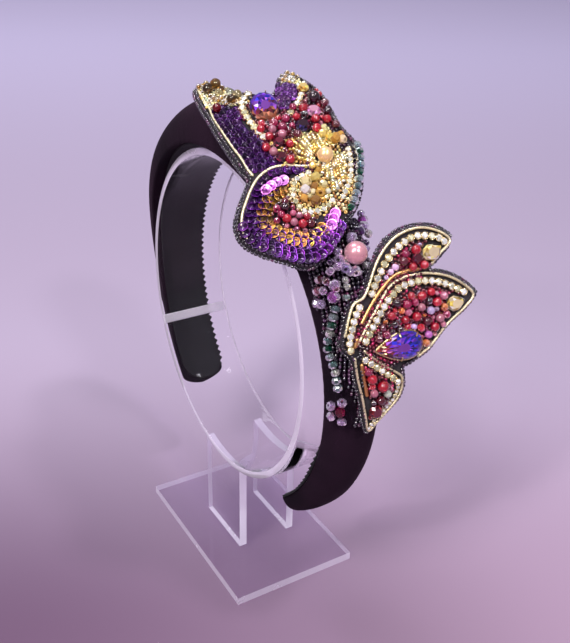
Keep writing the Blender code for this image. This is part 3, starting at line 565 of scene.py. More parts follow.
def padHeight(angle):
    turn = abs(angle)
    return (band["padEnds"] + band["pad"] * math.cos(math.radians(turn / band["padReach"] * 90))
            + band["crown"] * math.exp(-(turn / band["crownReach"])**2) + band["swellHeight"] * leftSwell(angle))


def tapeFrontEdge(angle):
    return band["frontWidth"] + band["frontMore"] * math.exp(-((angle - band["frontAt"]) / band["frontReach"])**2)


def rearEdge(angle):
    return band["rearWidth"] + band["rearMore"] * math.exp(-(angle / band["rearReach"])**2)


def halfAndMiddle(angle):
    # half the band's width, and where its middle lies
    frontEdge = tapeFrontEdge(angle) + band["swellWidth"] * leftSwell(angle)
    return (frontEdge + rearEdge(angle)) / 2, (rearEdge(angle) - frontEdge) / 2


def endClose(angle, rounding):
    share = min(1.0, (band["halfAngle"] - abs(angle)) / rounding)
    return math.sqrt(max(0.0, 1 - (1 - share)**2))


def padSection(turn):
    # across and up the pad, each from 0 to 1: turn is 0 at the rear edge, a quarter turn on the ridge
    across = math.copysign(abs(math.cos(turn))**(2 / band["round"]), math.cos(turn))
    return across, max(math.sin(turn), 0)**(2 / band["round"])


def bandPoint(angle, turn, lift):
    # over the padded surface: turn is 0 at the rear edge, 90 on the ridge, 180 in front
    point, normal = innerCurve(angle)
    half, middle = halfAndMiddle(angle)
    across, rise = padSection(math.radians(turn))
    height = band["seat"] + (padHeight(angle) + lift - band["seat"]) * rise
    return point + normal * height * mm + np.array([0, (middle + (half + lift) * across) * mm, 0])


def bandWays(angle, turn):
    # along the band, across it and out of it at that spot
    along = unit(bandPoint(angle - 0.2, turn, 0) - bandPoint(angle + 0.2, turn, 0))
    across = unit(bandPoint(angle, turn - 0.5, 0) - bandPoint(angle, turn + 0.5, 0))
    out = unit(np.cross(along, across))
    if out @ innerCurve(angle)[1] < -0.2 or out @ (bandPoint(angle, turn, 1) - bandPoint(angle, turn, 0)) < 0:
        out = -out
    return along, unit(np.cross(out, along)) * np.sign(np.cross(out, along) @ across), out


def makeVelvetBand():
    rng = random.Random(7)
    waves = [(rng.uniform(1.4, 3.4), rng.uniform(0, 6.28), rng.uniform(0.5, 1.0)) for _ in range(band["puckers"])]
    ends = [band["halfAngle"] - band["endRound"] * (1 - math.cos(math.radians(q))) for q in range(6, 90, 7)]
    inside = np.linspace(-ends[-1], ends[-1], band["stations"])[1:-1]
    rows = []
    for angle in [-a for a in ends] + list(inside) + ends[::-1]:
        point, normal = innerCurve(angle)
        close = endClose(angle, band["endRound"])
        half, middle = halfAndMiddle(angle)
        riseMost = (padHeight(angle) - band["seat"]) * (band["endHeight"] + (1 - band["endHeight"]) * close)
        row = []
        for k in range(band["around"] + 1):
            turn = math.pi * k / band["around"]
            across, rise = padSection(turn)
            # the cloth is pulled over the edge, so small puckers fade out up the sides
            side = 1 if turn < math.pi / 2 else -1
            pull = math.exp(-(rise * 3.2)**2) * close
            pucker = sum(w * math.sin(f * angle + p + side) for f, p, w in waves) * band["puckerDepth"] * pull
            swell = 0.05 * math.sin(angle * 0.31 + 2 * turn) * rise
            y = middle + half * close * across + pucker * side
            row.append(point + normal * (band["seat"] + riseMost * rise + swell) * mm + np.array([0, y * mm, 0]))
        # tucked under along the tape
        row += [point + normal * band["seat"] * mm + np.array([0, (middle + half * close * share) * mm, 0])
                for share in (-0.94, -0.5, 0, 0.5, 0.94)]
        rows.append(row)
    velvet = gridPiece("velvetCover", rows, "velvet", ["velvet_band"])


def makeTapeLining():
    count = 2 * round(tape["length"] / tape["pitch"])
    reach = band["halfAngle"] - tape["endGap"]
    rows, flat = [], []
    for i in range(count + 1):
        angle = -reach + 2 * reach * i / count
        point, normal = innerCurve(angle)
        close = endClose(angle, tape["endRound"])
        out = tape["peak"] if i % 2 else tape["valley"]
        rear = rearEdge(angle) * close + out
        # in front the tape only shows from under the velvet near the right end
        shown = min(1, max(0, (angle - tape["shownFrom"]) / 10))
        front = -tapeFrontEdge(angle) * close - (out * shown + tape["hidden"] * (1 - shown))
        low, high = tape["overRing"] - tape["thick"], tape["overRing"]
        section = [(low, rear), (low - 0.25, rear * 0.5), (low - 0.3, 0), (low - 0.25, front * 0.5), (low, front),
                   (high, front), (high, 0), (high, rear)]
        rows.append([point + normal * up * mm + np.array([0, y * mm, 0]) for up, y in section])
        flat += [(tape["length"] * i / count, y) for _, y in section]
    mesh = gridPiece("tapeLining", rows, "tape", ["lining"]).data
    layer = mesh.uv_layers.new(name="tape")
    for loop in mesh.loops:
        layer.data[loop.index].uv = flat[loop.vertex_index]
    mesh.polygons.foreach_set("use_smooth", [False] * len(mesh.polygons))


makeVelvetBand()
makeTapeLining()
print("headband: band and lining made")


# The acrylic stand

stand = {"ringHalfWidth": 70.7, "ringHalfHeight": 75.0, "ringCentre": 122.9, "wall": 3.1, "front": -14.8,
         "rear": 20.6, "bevel": 0.35, "stations": 240, "plateBevel": 0.30,
         "seamWidth": 4.6, "seamAngle": 203.5, "seamProud": 0.12, "seamShort": 0.6}
plates = {"acrylicBase": "stand_base", "frontUpright": "stand_front_upright", "rearUpright": "stand_rear_upright"}


def ringRow(angle, section):
    # points of a section of (inset, y), an even wall inside the ring's outside ellipse
    c, s = math.cos(math.radians(angle)), math.sin(math.radians(angle))
    a, b = stand["ringHalfWidth"], stand["ringHalfHeight"]
    normal = unit(np.array([c / a, 0, s / b]))
    return [(np.array([a * c, y, stand["ringCentre"] + b * s]) - normal * inset) * mm for inset, y in section]


def showEdges(mesh, isEdge):
    # thin edges of clear plastic get a paler, rougher, less clear finish: partly the rougher cut edge, partly a
    # painted highlight where the edges catch the light
    mesh.materials.append(finishes["acrylicEdge"])
    for face in mesh.polygons:
        face.material_index = int(isEdge(face))


def makeRing():
    edge, wall, front, rear = (stand[k] for k in ("bevel", "wall", "front", "rear"))
    soft = edge * 0.3
    section = [(0, front + edge), (0, rear - edge), (soft, rear - soft), (edge, rear), (wall - edge, rear),
               (wall - soft, rear - soft), (wall, rear - edge), (wall, front + edge), (wall - soft, front + soft),
               (wall - edge, front), (edge, front), (soft, front + soft)]
    rows = [ringRow(k * 360 / stand["stations"], section) for k in range(stand["stations"])]
    ring = gridPiece("acrylicRing", rows, "acrylic", ["stand_ring"], looped=True).data
    ring.set_sharp_from_angle(angle=0.5)
    showEdges(ring, lambda face: abs(face.normal.y) > 0.5)


def makeRingSeam():
    # the frosted strip where the ring's ends are glued
    halfTurn = math.degrees(stand["seamWidth"] / 2 / stand["ringHalfHeight"])
    proud, front, rear = stand["seamProud"], stand["front"] + stand["seamShort"], stand["rear"] - stand["seamShort"]
    section = [(-proud, front), (-proud, rear), (proud, rear), (proud, front)]
    rows = [ringRow(stand["seamAngle"] + halfTurn * (k / 3 - 1), section) for k in range(7)]
    gridPiece("ringGlueSeam", rows, "frosted")


def makePlates():
    for title, name in plates.items():
        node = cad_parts[name]
        mesh = node.data.copy()
        mesh.transform(node.matrix_world)
        mesh.materials.clear()
        broad = max(face.area for face in mesh.polygons)
        broadWay = next(face.normal.copy() for face in mesh.polygons if face.area == broad)
        plate = addPiece(title, mesh, "acrylic", [name])
        showEdges(mesh, lambda face: abs(face.normal.dot(broadWay)) < 0.9)
        bevel = plate.modifiers.new("polishedEdge", "BEVEL")
        bevel.width = stand["plateBevel"] * mm
        bevel.segments = 2
        bevel.limit_method = "ANGLE"


makeRing()
makeRingSeam()
makePlates()
print("headband: stand dressed")


# The wings' felt sheets, bent to one large radius: along runs up the band, across to the rear

class Sheet:
    def __init__(self, angle, lift, rearRise, radius, upward):
        point, normal = innerCurve(angle)
        self.origin = point + normal * (padHeight(angle) + lift) * mm
        self.normal = unit(np.array([normal[0], -rearRise, normal[2]]))
        rear = np.array([0.0, 1.0, 0.0])
        self.across = unit(rear - self.normal * (rear @ self.normal))
        self.along = np.cross(self.across, self.normal)
        if self.along @ np.array(upward, float) < 0:
            self.along = -self.along
        self.radius = radius

    def place(self, along, across, height):
        angle = along / self.radius
        reach = (self.radius + height) * mm
        return (self.origin + self.along * (reach * math.sin(angle))
                + self.normal * (reach * math.cos(angle) - self.radius * mm) + self.across * (across * mm))

    def ways(self, along):
        # along the sheet, across it and out of it
        angle = along / self.radius
        return (self.along * math.cos(angle) - self.normal * math.sin(angle), self.across,
                swing(self.normal, self.along, angle))

    def follow(self, along, way):
        # ahead, left and out for something that lies along a direction on the sheet
        forward, side, up = self.ways(along)
        ahead = unit(forward * way[0] + side * way[1])
        return ahead, np.cross(up, ahead), up


sheets = {"front": Sheet(36.75, 4.0, 0.30, 155, (-1, 0, 1)), "rear": Sheet(73.0, 3.6, 0.18, 160, (0, 0, 1))}
outlines = {
    "front": smoothLine([
        (70, -30), (74, -27), (74, -20.5), (68.5, -17.5), (60.5, -13.5), (54.2, -5.5), (58, -0.5),
        (64.5, 3.5), (65, 8), (60.5, 12), (50, 15.3), (40, 15.6), (30, 15.6), (22, 17.5), (14, 16.8),
        (5.5, 13.6), (-1.5, 9.4), (-6.2, 4.8), (-9.6, -0.6), (-14, -5.6), (-17.8, -10.6), (-20.4, -15.8),
        (-19.5, -20.5), (-15.5, -26), (-11.5, -31.5), (-6.5, -36.5), (-1, -38.5), (4.5, -37.5), (10, -34),
        (15, -30), (19.5, -26.8), (24, -28), (31, -29), (41, -30), (51, -30.5), (61, -30.8)],
        8, closed=True, corners=(5,)),
    "rear": smoothLine([
        (8.5, -12), (13, -11.8), (24, -7), (25.8, -2.8), (30.5, 0.2), (37, 4.2), (43, 8.4), (46.8, 14),
        (48.8, 20.3), (48.8, 27), (47.3, 33), (42.8, 38.8), (38.5, 37), (34.5, 32), (31.6, 27.8),
        (30.3, 33), (27.5, 38.3), (24, 42.6), (19.7, 46), (16.3, 43), (12.8, 38), (9.8, 33), (6, 28.4),
        (1.5, 23.8), (-1.7, 17), (-3, 13), (-6.5, 13.2), (-10.5, 12.8), (-14.8, 10.8), (-19, 6.2),
        (-23, 1.2), (-27.2, -3.9), (-20, -5.6), (-12.5, -6.3), (-6, -7.4), (-1, -8.1), (4, -8.6)],
        8, closed=True, corners=(11, 14, 18, 25, 31)),
}
felt = {"thick": 1.3, "bend": 3.5, "round": 0.35, "inset": 0.9}
# two rows of black beads whipped over each wing's edge: (beyond the outline, height)
edging = {"radius": 0.74, "spacing": 1.5, "rows": [(-0.40, -0.65), (-1.55, 0.55)]}


def insetClosed(outline, distance):
    moved = outline + inwardWays(outline) * distance
    return moved[edgeDistance(moved, outline) > abs(distance) * 0.92]


def makeFelt(name, side, node):
    outline = insetClosed(outlines[side], felt["inset"])
    inward = inwardWays(outline)
    shell = bmesh.new()
    # four loops of (inset, height): round the lower edge, the under face, round the upper edge, the top
    levels = [(0.0, felt["round"] - felt["thick"]), (felt["round"], -felt["thick"]), (0.0, -felt["round"]),
              (felt["round"], 0.0)]
    low, under, high, top = ([shell.verts.new((*(p + n * inset), height)) for p, n in zip(outline, inward)]
                             for inset, height in levels)
    for a, b in ((under, low), (low, high), (high, top)):
        for k in range(len(outline)):
            j = (k + 1) % len(outline)
            shell.faces.new((a[k], a[j], b[j], b[k]))
    shell.faces.new(top)
    shell.faces.new(under[::-1])
    first, last = outline[:, 0].min(), outline[:, 0].max()
    for k in range(math.ceil(first / felt["bend"]), math.floor(last / felt["bend"]) + 1):
        everything = shell.verts[:] + shell.edges[:] + shell.faces[:]
        bmesh.ops.bisect_plane(shell, geom=everything, plane_co=(k * felt["bend"], 0, 0), plane_no=(1, 0, 0),
                               dist=0.01)
    bmesh.ops.triangulate(shell, faces=[f for f in shell.faces if len(f.verts) > 4])
    for vert in shell.verts:
        vert.co = sheets[side].place(*vert.co)
    mesh = bpy.data.meshes.new(name)
    shell.to_mesh(mesh)
    shell.free()
    faceOut(mesh)
    mesh.polygons.foreach_set("use_smooth", [True] * len(mesh.polygons))
    mesh.set_sharp_from_angle(angle=0.7)
    addPiece(name, mesh, "felt", [node])


def makeEdging(name, side):
    rng = random.Random(11)
    batch = Batch()
    for out, height in edging["rows"]:
        line = evenly(insetClosed(outlines[side], -out), edging["spacing"], closed=True)
        for (along, across), way in zip(line, headings(line, closed=True)):
            thread, left, up = sheets[side].follow(along, way)
            axis = unit(swing(-left, thread, rng.uniform(-0.35, 0.35)) + up * rng.uniform(-0.3, 0.3))
            tint = shade(palette["plumBlack" if rng.random() < 0.8 else "plum"], 0.5, rng)
            radius = edging["radius"] * rng.uniform(0.92, 1.06)
            batch.add(shapes["seed"], sheets[side].place(along, across, height + rng.uniform(-0.08, 0.08)),
                      square(axis, thread), radius, tint)
    batch.build(name, "seed", "felt", [])


makeFelt("frontWingFelt", "front", "front_wing_backing")
makeFelt("rearWingFelt", "rear", "rear_wing_backing")
makeEdging("frontWingEdging", "front")
makeEdging("rearWingEdging", "rear")
print("headband: felts and edging made")


# Metal threads laid along the wings

threads = {
    # piece: sheet, radius, replaced node, line
    "forewingThread": ("front", 0.62, "forewing_wire", [
        (71.5, -26.5), (69.5, -27.6), (62, -27.7), (56, -27.5), (50, -27.9), (42, -27.2), (34, -26.3),
        (28.5, -25.3), (23, -24.8), (19.6, -24)]),
    "hindwingThread": ("front", 0.62, "hindwing_wire", [
        (16, 0.5), (17.5, -5.5), (20, -11.5), (20.6, -16.5), (19, -21.5), (16, -25.5), (11.5, -29.5),
        (6, -33.5), (0, -35.6), (-5, -33.8), (-9.2, -29.8), (-13.2, -24.6), (-16.6, -19), (-17.4, -13.5),
        (-15.5, -8.5)]),
    "rearUpperThread": ("rear", 0.60, "rear_upper_wire", [
        (13, -10), (23.3, -5.6), (25.8, -0.8), (30.2, 2.2), (37, 6.2), (41.5, 10.3), (44.8, 15),
        (46.5, 20.3), (46.9, 25), (45.8, 30), (43, 35), (40, 36.6), (36.6, 32), (33, 27.5)]),
    "rearMiddleThread": ("rear", 0.60, "rear_middle_wire", [
        (8.5, -6.4), (11, -4.2), (16, -0.5), (21.5, 4.0), (26.8, 8.6), (29.6, 13.2), (30.6, 19.5),
        (30.1, 26), (28, 33.2), (24.3, 39), (19.2, 43.2), (14.6, 38), (11.6, 33), (8.1, 28.4),
        (3.5, 23.5), (0.4, 17.8)]),
    "rearLowerThread": ("rear", 0.55, "rear_lower_wire", [
        (7, -3.2), (2.6, 1.2), (-0.5, 4.8), (-3.4, 8.6), (-6, 11.2), (-10, 11), (-14, 9), (-18, 4.8),
        (-22, 0.2), (-24.5, -3), (-18, -4.1), (-11, -5), (-2.5, -6.4), (5, -6.8)]),
}
threadShare = 0.84  # the drawn radius, as the twist stands out beyond it
bullion = {"radius": 0.75, "height": 1.05, "ply": 0.08, "twistLength": 0.55, "lines": [
    [(32.3, 22.5), (32.3, 16.5), (31.2, 11.4), (27.6, 6.5), (23, 1.9), (16.5, -3.2)], [(12, -5.2), (8.5, -6.5)],
    [(2.5, -4.6), (-4, -4), (-10.5, -3.2)]]}


def sweepThread(batch, sheet, line, radius, height, ply=0.14, twistLength=1.1, sides=10, step=0.22):
    # a round thread with the ridges of its twist, along a line on the sheet
    fine = evenly(line, step)
    points = []
    for i, ((along, across), way) in enumerate(zip(fine, headings(fine))):
        _, left, up = sheet.follow(along, way)
        grow = 1.0 if 1 < i < len(fine) - 2 else 0.55
        for k in range(sides):
            angle = fullTurn * k / sides
            ridge = 1 + ply * math.cos(2 * angle - fullTurn * i * step / twistLength)
            points.append(sheet.place(along, across, height) + swing(left, up, angle) * radius * ridge * grow * mm)
    faces = skinFaces(len(fine), sides)
    batch.add((np.array(points), faces, [1.0] * len(faces)), np.zeros(3), np.eye(3), 1 / mm)


def sweepRim(batch, sheet, rim, radius, height):
    # a plain metal rim round a stone
    sweepThread(batch, sheet, np.vstack([rim, rim[:2]]), radius, height, ply=0.0, sides=8, step=0.5)


def makeThreads():
    for name, (side, radius, node, points) in threads.items():
        batch = Batch()
        sweepThread(batch, sheets[side], smoothLine(points, 8), radius * threadShare, 0.3 + radius)
        batch.build(name, "goldThread", "gold", [node])
    copper = Batch()
    for points in bullion["lines"]:
        sweepThread(copper, sheets["rear"], smoothLine(points, 8), bullion["radius"], bullion["height"],
                    ply=bullion["ply"], twistLength=bullion["twistLength"])
    copper.build("rearBullion", "bullion", "copper")


makeThreads()


# Cup chain: rhinestones in four-clawed brass cups

chains = {
    # piece: sheet, replaced node, radius, line
    "forewingChain": ("front", "forewing_chain", 1.42, [
        (58, -11.3), (56, -14), (52, -16), (46.5, -16.2), (42, -16), (37.5, -15), (34.5, -14.2)]),
    "lobeChain": ("front", "lobe_chain", 1.25, [
        (49.6, 7.2), (48, 5.9), (46.5, 4.6), (44, 2), (42.2, -0.2)]),
    "edgeChain": ("front", "edge_chain", 1.15, [(18.5, 12.8), (12, 11), (7, 8.6), (3.5, 5.6), (1, 3.2)]),
    "hindwingChain": ("front", "hindwing_chain", 1.15, [
        (14, -5), (13, -10), (10.5, -12), (7.5, -13.5), (4, -13.5), (0.3, -12), (-1, -8.5), (-1, -4.5), (1, -1)]),
    "rearUpperChain": ("rear", "rear_upper_chain", 1.40, [
        (26.6, 2.6), (29.3, 4.5), (34, 8.2), (37, 10.9), (39.5, 14), (41.5, 17.3), (43, 21), (43.4, 24.5),
        (42.8, 28), (41.8, 31), (40.6, 34)]),
    "rearRootChain": ("rear", "rear_root_chain", 1.40, [(22, -2.8), (19, -4.6), (15, -6.6), (11.5, -8.2), (8, -9)]),
    "rearMiddleChain": ("rear", "rear_middle_chain", 1.40, [
        (10, -1.6), (15.2, 2.4), (21.2, 7.2), (24.2, 10.6), (26.2, 13.4), (27, 16.5), (27.3, 20), (27, 24),
        (26, 28.5), (24.2, 32.5), (22.4, 35.7), (20.5, 38.7)]),
    "rearLowerChain": ("rear", "rear_lower_chain", 1.35, [(3, -3.5), (-1.3, 1.6), (-5.5, 6.5), (-7.3, 8.6)]),
    "rearTipChain": ("rear", None, 0.85, [(-9.5, 9.4), (-13.5, 7.4), (-17, 3.8), (-20.6, -0.6), (-23.4, -3)]),
}
cup = {"foot": 0.45, "pitch": 2.04, "pullMost": 0.7, "wireGap": 2.0, "clawOut": 0.90, "clawUp": 0.95}
stoneTones = [(0.98, 0.97, 0.86), (0.90, 0.88, 0.66), (0.66, 0.63, 0.40), (1.0, 1.0, 0.96), (0.80, 0.80, 0.70)]


def addCup(cups, rhinestones, sheet, along, across, radius, way, rng):
    ahead, left, up = sheet.follow(along, way)
    cups.add(shapes["cup"], sheet.place(along, across, cup["foot"]), (ahead, left, up), radius)
    for k in range(4):
        claw = swing(ahead, left, math.pi / 4 + k * math.pi / 2)
        spot = sheet.place(along, across, cup["foot"] + radius * cup["clawUp"]) + claw * radius * cup["clawOut"] * mm
        cups.add(shapes["smallBall"], spot, (np.cross(claw, up), claw, up),
                 (radius * 0.17, radius * 0.2, radius * 0.3))
    tone = rng.choice(stoneTones)
    # painted glints and shade: each facet's painted brightness, varied at random
    glintLifts = [bright * rng.uniform(0.45, 1.5) for bright in shapes["chaton"][2]]
    rhinestones.add(shapes["chaton"], sheet.place(along, across, cup["foot"] + radius * 0.78), (ahead, left, up),
                    radius * 0.95, [tuple(min(1, c * lift) for c in tone) for lift in glintLifts])


def chainLine(side, points):
    # on the rear wing the cups sit close against the wire beside them, pulled by no more than pullMost
    line = smoothLine(points, 6)
    if side == "front":
        return line
    wires = np.vstack([smoothLine(t[3], 8) for t in threads.values() if t[0] == side])
    pulls = []
    for spot in line:
        toWire = wires[np.linalg.norm(wires - spot, axis=1).argmin()] - spot
        gap = np.linalg.norm(toWire)
        pulls.append(toWire / max(gap, 1e-6) * min(cup["pullMost"], max(0.0, gap - cup["wireGap"])))
    return line + np.array(pulls)


def makeChains():
    rng = random.Random(5)
    for name, (side, node, radius, points) in chains.items():
        cups, rhinestones = Batch(), Batch()
        line = evenly(chainLine(side, points), radius * cup["pitch"])
        for (along, across), way in zip(line, headings(line)):
            addCup(cups, rhinestones, sheets[side], along, across, radius, way, rng)
        cups.build(name + "Cups", "cup", "gold", [])
        rhinestones.build(name, "rhinestone", "rhinestone", [node] if node else [], smooth=False)


makeChains()
print("headband: threads and cup chains made")


# Sequins, overlapping in rows

purple = {"spacing": 2.7, "radius": 1.92, "colours": ["violet", "violet", "deepViolet"], "thread": (0.80, 0.68, 0.86),
          "stitched": 0.6}
corner = {**purple, "colours": ["violet", "violet", "lightViolet"]}
lobe = {**purple, "colours": ["violet", "lightViolet"], "tilt": -0.26}
glow = {"spacing": 2.5, "radius": 2.0, "colours": ["magenta"]}
warm = {"spacing": 2.5, "radius": 1.80, "colours": ["copper", "amber", "bronze"], "thread": (0.6, 0.45, 0.25)}
forewing = {**purple, "tilt": -0.26, "bank": -0.22, "inside": smoothLine([
    (55, -26.4), (52.6, -19), (43, -18.2), (34, -16.6), (27, -14.5), (21.3, -11.6), (21.2, -23), (26, -24),
    (35.5, -25), (45, -26.2)], 4, closed=True)}
hindwing = {**purple, "bank": 0.22}


def alongWire(look, wire, offsets, heights, skips=()):
    # rows beside a wire, every second one shifted by half a sequin
    return [(beside(wire, offset)[(skips[k] if skips else 0):], {**look, "staggered": k % 2}, heights[k])
            for k, offset in enumerate(offsets)]


def drawn(look, height, *lines):
    return [(smoothLine(points, 6), look, height) for points in lines]


sequinFields = {
    # piece: slot, rows of (line, look, height)
    "forewingSequins": ("violet", alongWire(
        forewing, smoothLine(threads["forewingThread"][3][3:], 8), (-1.8, -4.3, -6.8, -9.3, -11.4),
        (0.804, 0.879, 0.954, 1.029, 1.092))),
    # the outermost row covers the wire along the lower edge
    "hindwingSequins": ("violet", alongWire(
        hindwing, smoothLine(threads["hindwingThread"][3][2:], 8), (-7.2, -4.8, -2.4, -0.3),
        (0.784, 0.856, 0.928, 1.65), (8, 0, 0, 44))
        + drawn(purple, 0.8, [(17, -2.5), (16.2, -7), (17.6, -11)])
        + drawn(corner, 1.0, [(-15.6, -9.4), (-12.6, -5.4), (-9.4, -1.8)],
                [(-13.8, -11.4), (-11, -7.4), (-7.6, -3.0)], [(-11.6, -12.4), (-8.8, -8.2), (-5.4, -4.6)],
                [(-16.6, -15), (-14.4, -12.4), (-12.2, -10)])),
    "magentaSequins": ("violet", drawn(
        glow, 1.55, [(12.4, -22), (13.4, -19.4), (13.8, -17), (13.8, -14.6)],
        [(-7.6, -4.8), (-5.4, -3.2), (-4.2, -2.2)])),
    "goldSequins": ("copper", drawn(
        warm, 1.0, [(10.4, -15.8), (9.6, -21.4), (6, -26), (0, -28), (-5, -24.8), (-9.8, -18.6), (-11.4, -12.6),
                    (-8.6, -8)],
        [(8.6, -16.2), (7.6, -20.8), (4.6, -24.2), (0, -25.8), (-3.8, -22.4), (-7.8, -17), (-9, -12), (-7.2, -8.6)])),
    "lobeSequins": ("violet", drawn(
        lobe, 1.5, [(56.6, 1.2), (52, -0.6), (46.8, -2.2)], [(55.6, 3.4), (51, 1.6), (46.0, -0.4)],
        [(54.2, 5.2), (49.6, 3.6)])),
}


sewing = {"jitter": 0.12, "lean": 0.06, "roll": 0.07, "stray": 0.9, "threadUp": 0.42, "threadThick": 0.09}


def sequinRow(batch, stitches, line, look, height, rng):
    sheet, jitter = sheets["front"], sewing["jitter"]
    places = evenly(line, look["spacing"])
    if look.get("staggered"):
        places = (places[:-1] + places[1:]) / 2
    ways = headings(places)
    places = places + np.array([(rng.uniform(-jitter, jitter), rng.uniform(-jitter, jitter)) for _ in places])
    for (along, across), way in zip(places, ways):
        if "inside" in look and not insideShape([(along, across)], look["inside"])[0]:
            continue
        tint = anyOf(look["colours"], 0.35, rng)
        ahead, left, up = sheet.follow(along, way)
        xWay = unit(swing(ahead, up, look.get("tilt", 0.26) + rng.uniform(-sewing["lean"], sewing["lean"])))
        yWay = unit(swing(left, up, look.get("bank", 0) + rng.uniform(-sewing["roll"], sewing["roll"])))
        zWay = unit(np.cross(xWay, yWay))
        batch.add(shapes["sequin"], sheet.place(along, across, height), (xWay, np.cross(zWay, xWay), zWay),
                  look["radius"], tint)
        if "thread" in look and rng.random() < look.get("stitched", 0.5):
            ahead = unit(ahead + left * rng.uniform(-sewing["stray"], sewing["stray"]))
            spot = sheet.place(along, across, height + sewing["threadUp"]) + ahead * look["radius"] * 0.4 * mm
            stitches.add(shapes["smallBall"], spot, (ahead, np.cross(up, ahead), up),
                         (look["radius"] * 0.32, sewing["threadThick"], sewing["threadThick"]),
                         shade(look["thread"], 0.4, rng))


def makeSequins():
    rng = random.Random(21)
    stitches = Batch()
    for name, (slotName, rows) in sequinFields.items():
        batch = Batch()
        for line, look, height in rows:
            sequinRow(batch, stitches, line, look, height, rng)
        batch.build(name, "foil", slotName, [] if name == "magentaSequins" else None)
    stitches.build("sequinStitches", "seed", "violet", [])


makeSequins()
print("headband: sequins sewn")


# Clusters of beads, packed at random inside an outline

def packInside(outline, sizes, rng, tries, taken=(), margin=0.75, tight=0.90):
    low, high = outline.min(axis=0), outline.max(axis=0)
    placed = [tuple(t) for t in taken]
    found = []
    for radius in sorted(sizes, reverse=True):
        for _ in range(tries):
            spot = np.array([rng.uniform(low[0], high[0]), rng.uniform(low[1], high[1])])
            if not insideShape([spot], outline)[0] or edgeDistance([spot], outline)[0] < radius * margin:
                continue
            if all(math.hypot(spot[0] - x, spot[1] - y) > (radius + r) * tight for x, y, r in placed):
                found.append((spot[0], spot[1], radius))
                placed.append(found[-1])
    return found


def addBead(batch, sheet, along, across, radius, base, tint, rng, shape="seed"):
    forward, side, up = sheet.ways(along)
    flat = swing(forward, side, rng.uniform(0, fullTurn))
    axis = unit(swing(flat, up, rng.uniform(0.15, 0.75)))
    batch.add(shapes[shape], sheet.place(along, across, base + radius), square(axis, up), radius, tint)


clusters = {
    # piece: sheet, finish, slot, base height, radii, colours, outline
    "goldLobeBeads": ("front", "clearGlass", "gold", 0.3, [1.2, 1.0, 0.8],
                      ["gold", "topaz", "paleGold", "gold", "amber"],
                      [(71, -28), (73, -24), (71.5, -20.5), (66, -17.6), (60, -13.6), (56.6, -11.6), (55.2, -14),
                       (53.6, -17.6), (53.2, -20.5), (56, -23), (60, -25), (65, -26.4)]),
    "lobeTipBeads": ("front", "clearGlass", "rhinestone", 0.3, [1.1, 0.95, 0.75],
                     ["ivory", "paleGold", "gold", "gold"],
                     [(64, 4.5), (64, 8), (60.5, 10.6), (58, 10), (57, 6.6), (56.8, 3), (57.8, 0.8)]),
    "crimsonBeads": ("front", "glass", "crimson", 0.3, [1.7, 1.45, 1.2, 0.95],
                     ["crimson", "raspberry", "wine", "rose", "crimson", "garnet"],
                     [(44, -13.8), (42.4, -9.5), (42.2, -3), (45.5, 4), (48.6, 10.2), (49.6, 14), (43.5, 14.6),
                      (37, 14.4), (31, 14), (29.6, 12), (31.6, 7), (31, 3.5), (32.6, -2), (31, -6), (24, -7.6),
                      (21.6, -8), (21.8, -12.6), (27, -13.4), (34, -12.2), (37, -13.4)]),
    "heartBeads": ("front", "glass", "crimson", 0.5, [1.5, 1.25, 0.95],
                   ["crimson", "raspberry", "garnet", "rose", "wine", "pink"],
                   [(8.2, -15.6), (6.8, -20), (3.8, -23.2), (0.4, -24.8), (-3.2, -21.4), (-7, -16.4), (-7.8, -11.4),
                    (-5, -8.4), (-1.6, -11), (2, -14), (5.4, -14.8)]),
    "rearUpperBeads": ("rear", "glass", "crimson", 0.3, [1.4, 1.15, 0.9],
                       ["crimson", "raspberry", "crimson", "wine", "rose", "lilac"],
                       [(30.8, 7), (34.2, 10.4), (37.2, 13.8), (39.6, 17.8), (41.2, 21.8), (40.8, 25.2),
                        (34.6, 26), (33.6, 23.4), (33.8, 17), (32.8, 12), (29.6, 7.8)]),
    "rearMiddleBeads": ("rear", "glass", "crimson", 0.3, [1.5, 1.25, 1.0, 0.8],
                        ["crimson", "raspberry", "wine", "rose", "pink", "lilac", "crimson", "garnet", "orange"],
                        [(13.4, 3.2), (19.4, 7.8), (22.8, 12), (24.8, 17), (25.2, 22), (24.4, 27.6), (22.4, 32.4),
                         (17.4, 32.2), (12.4, 31.6), (8, 26.8), (4.2, 22.4), (2, 18), (0.6, 13.6), (0.8, 9.6),
                         (4.6, 4.8), (6.6, 2.6), (10, 1.2)]),
    "rearLowerBeads": ("rear", "glass", "crimson", 0.3, [1.5, 1.2, 0.95],
                       ["crimson", "raspberry", "wine", "garnet", "rose", "crimson"],
                       [(1.2, -3.6), (-2.8, 1.2), (-6.8, 5.6), (-9.6, 7.6), (-13.4, 6.2), (-16.6, 3.2), (-20.6, -1.6),
                        (-19, -2.8), (-13, -2.2), (-6, -3)]),
}
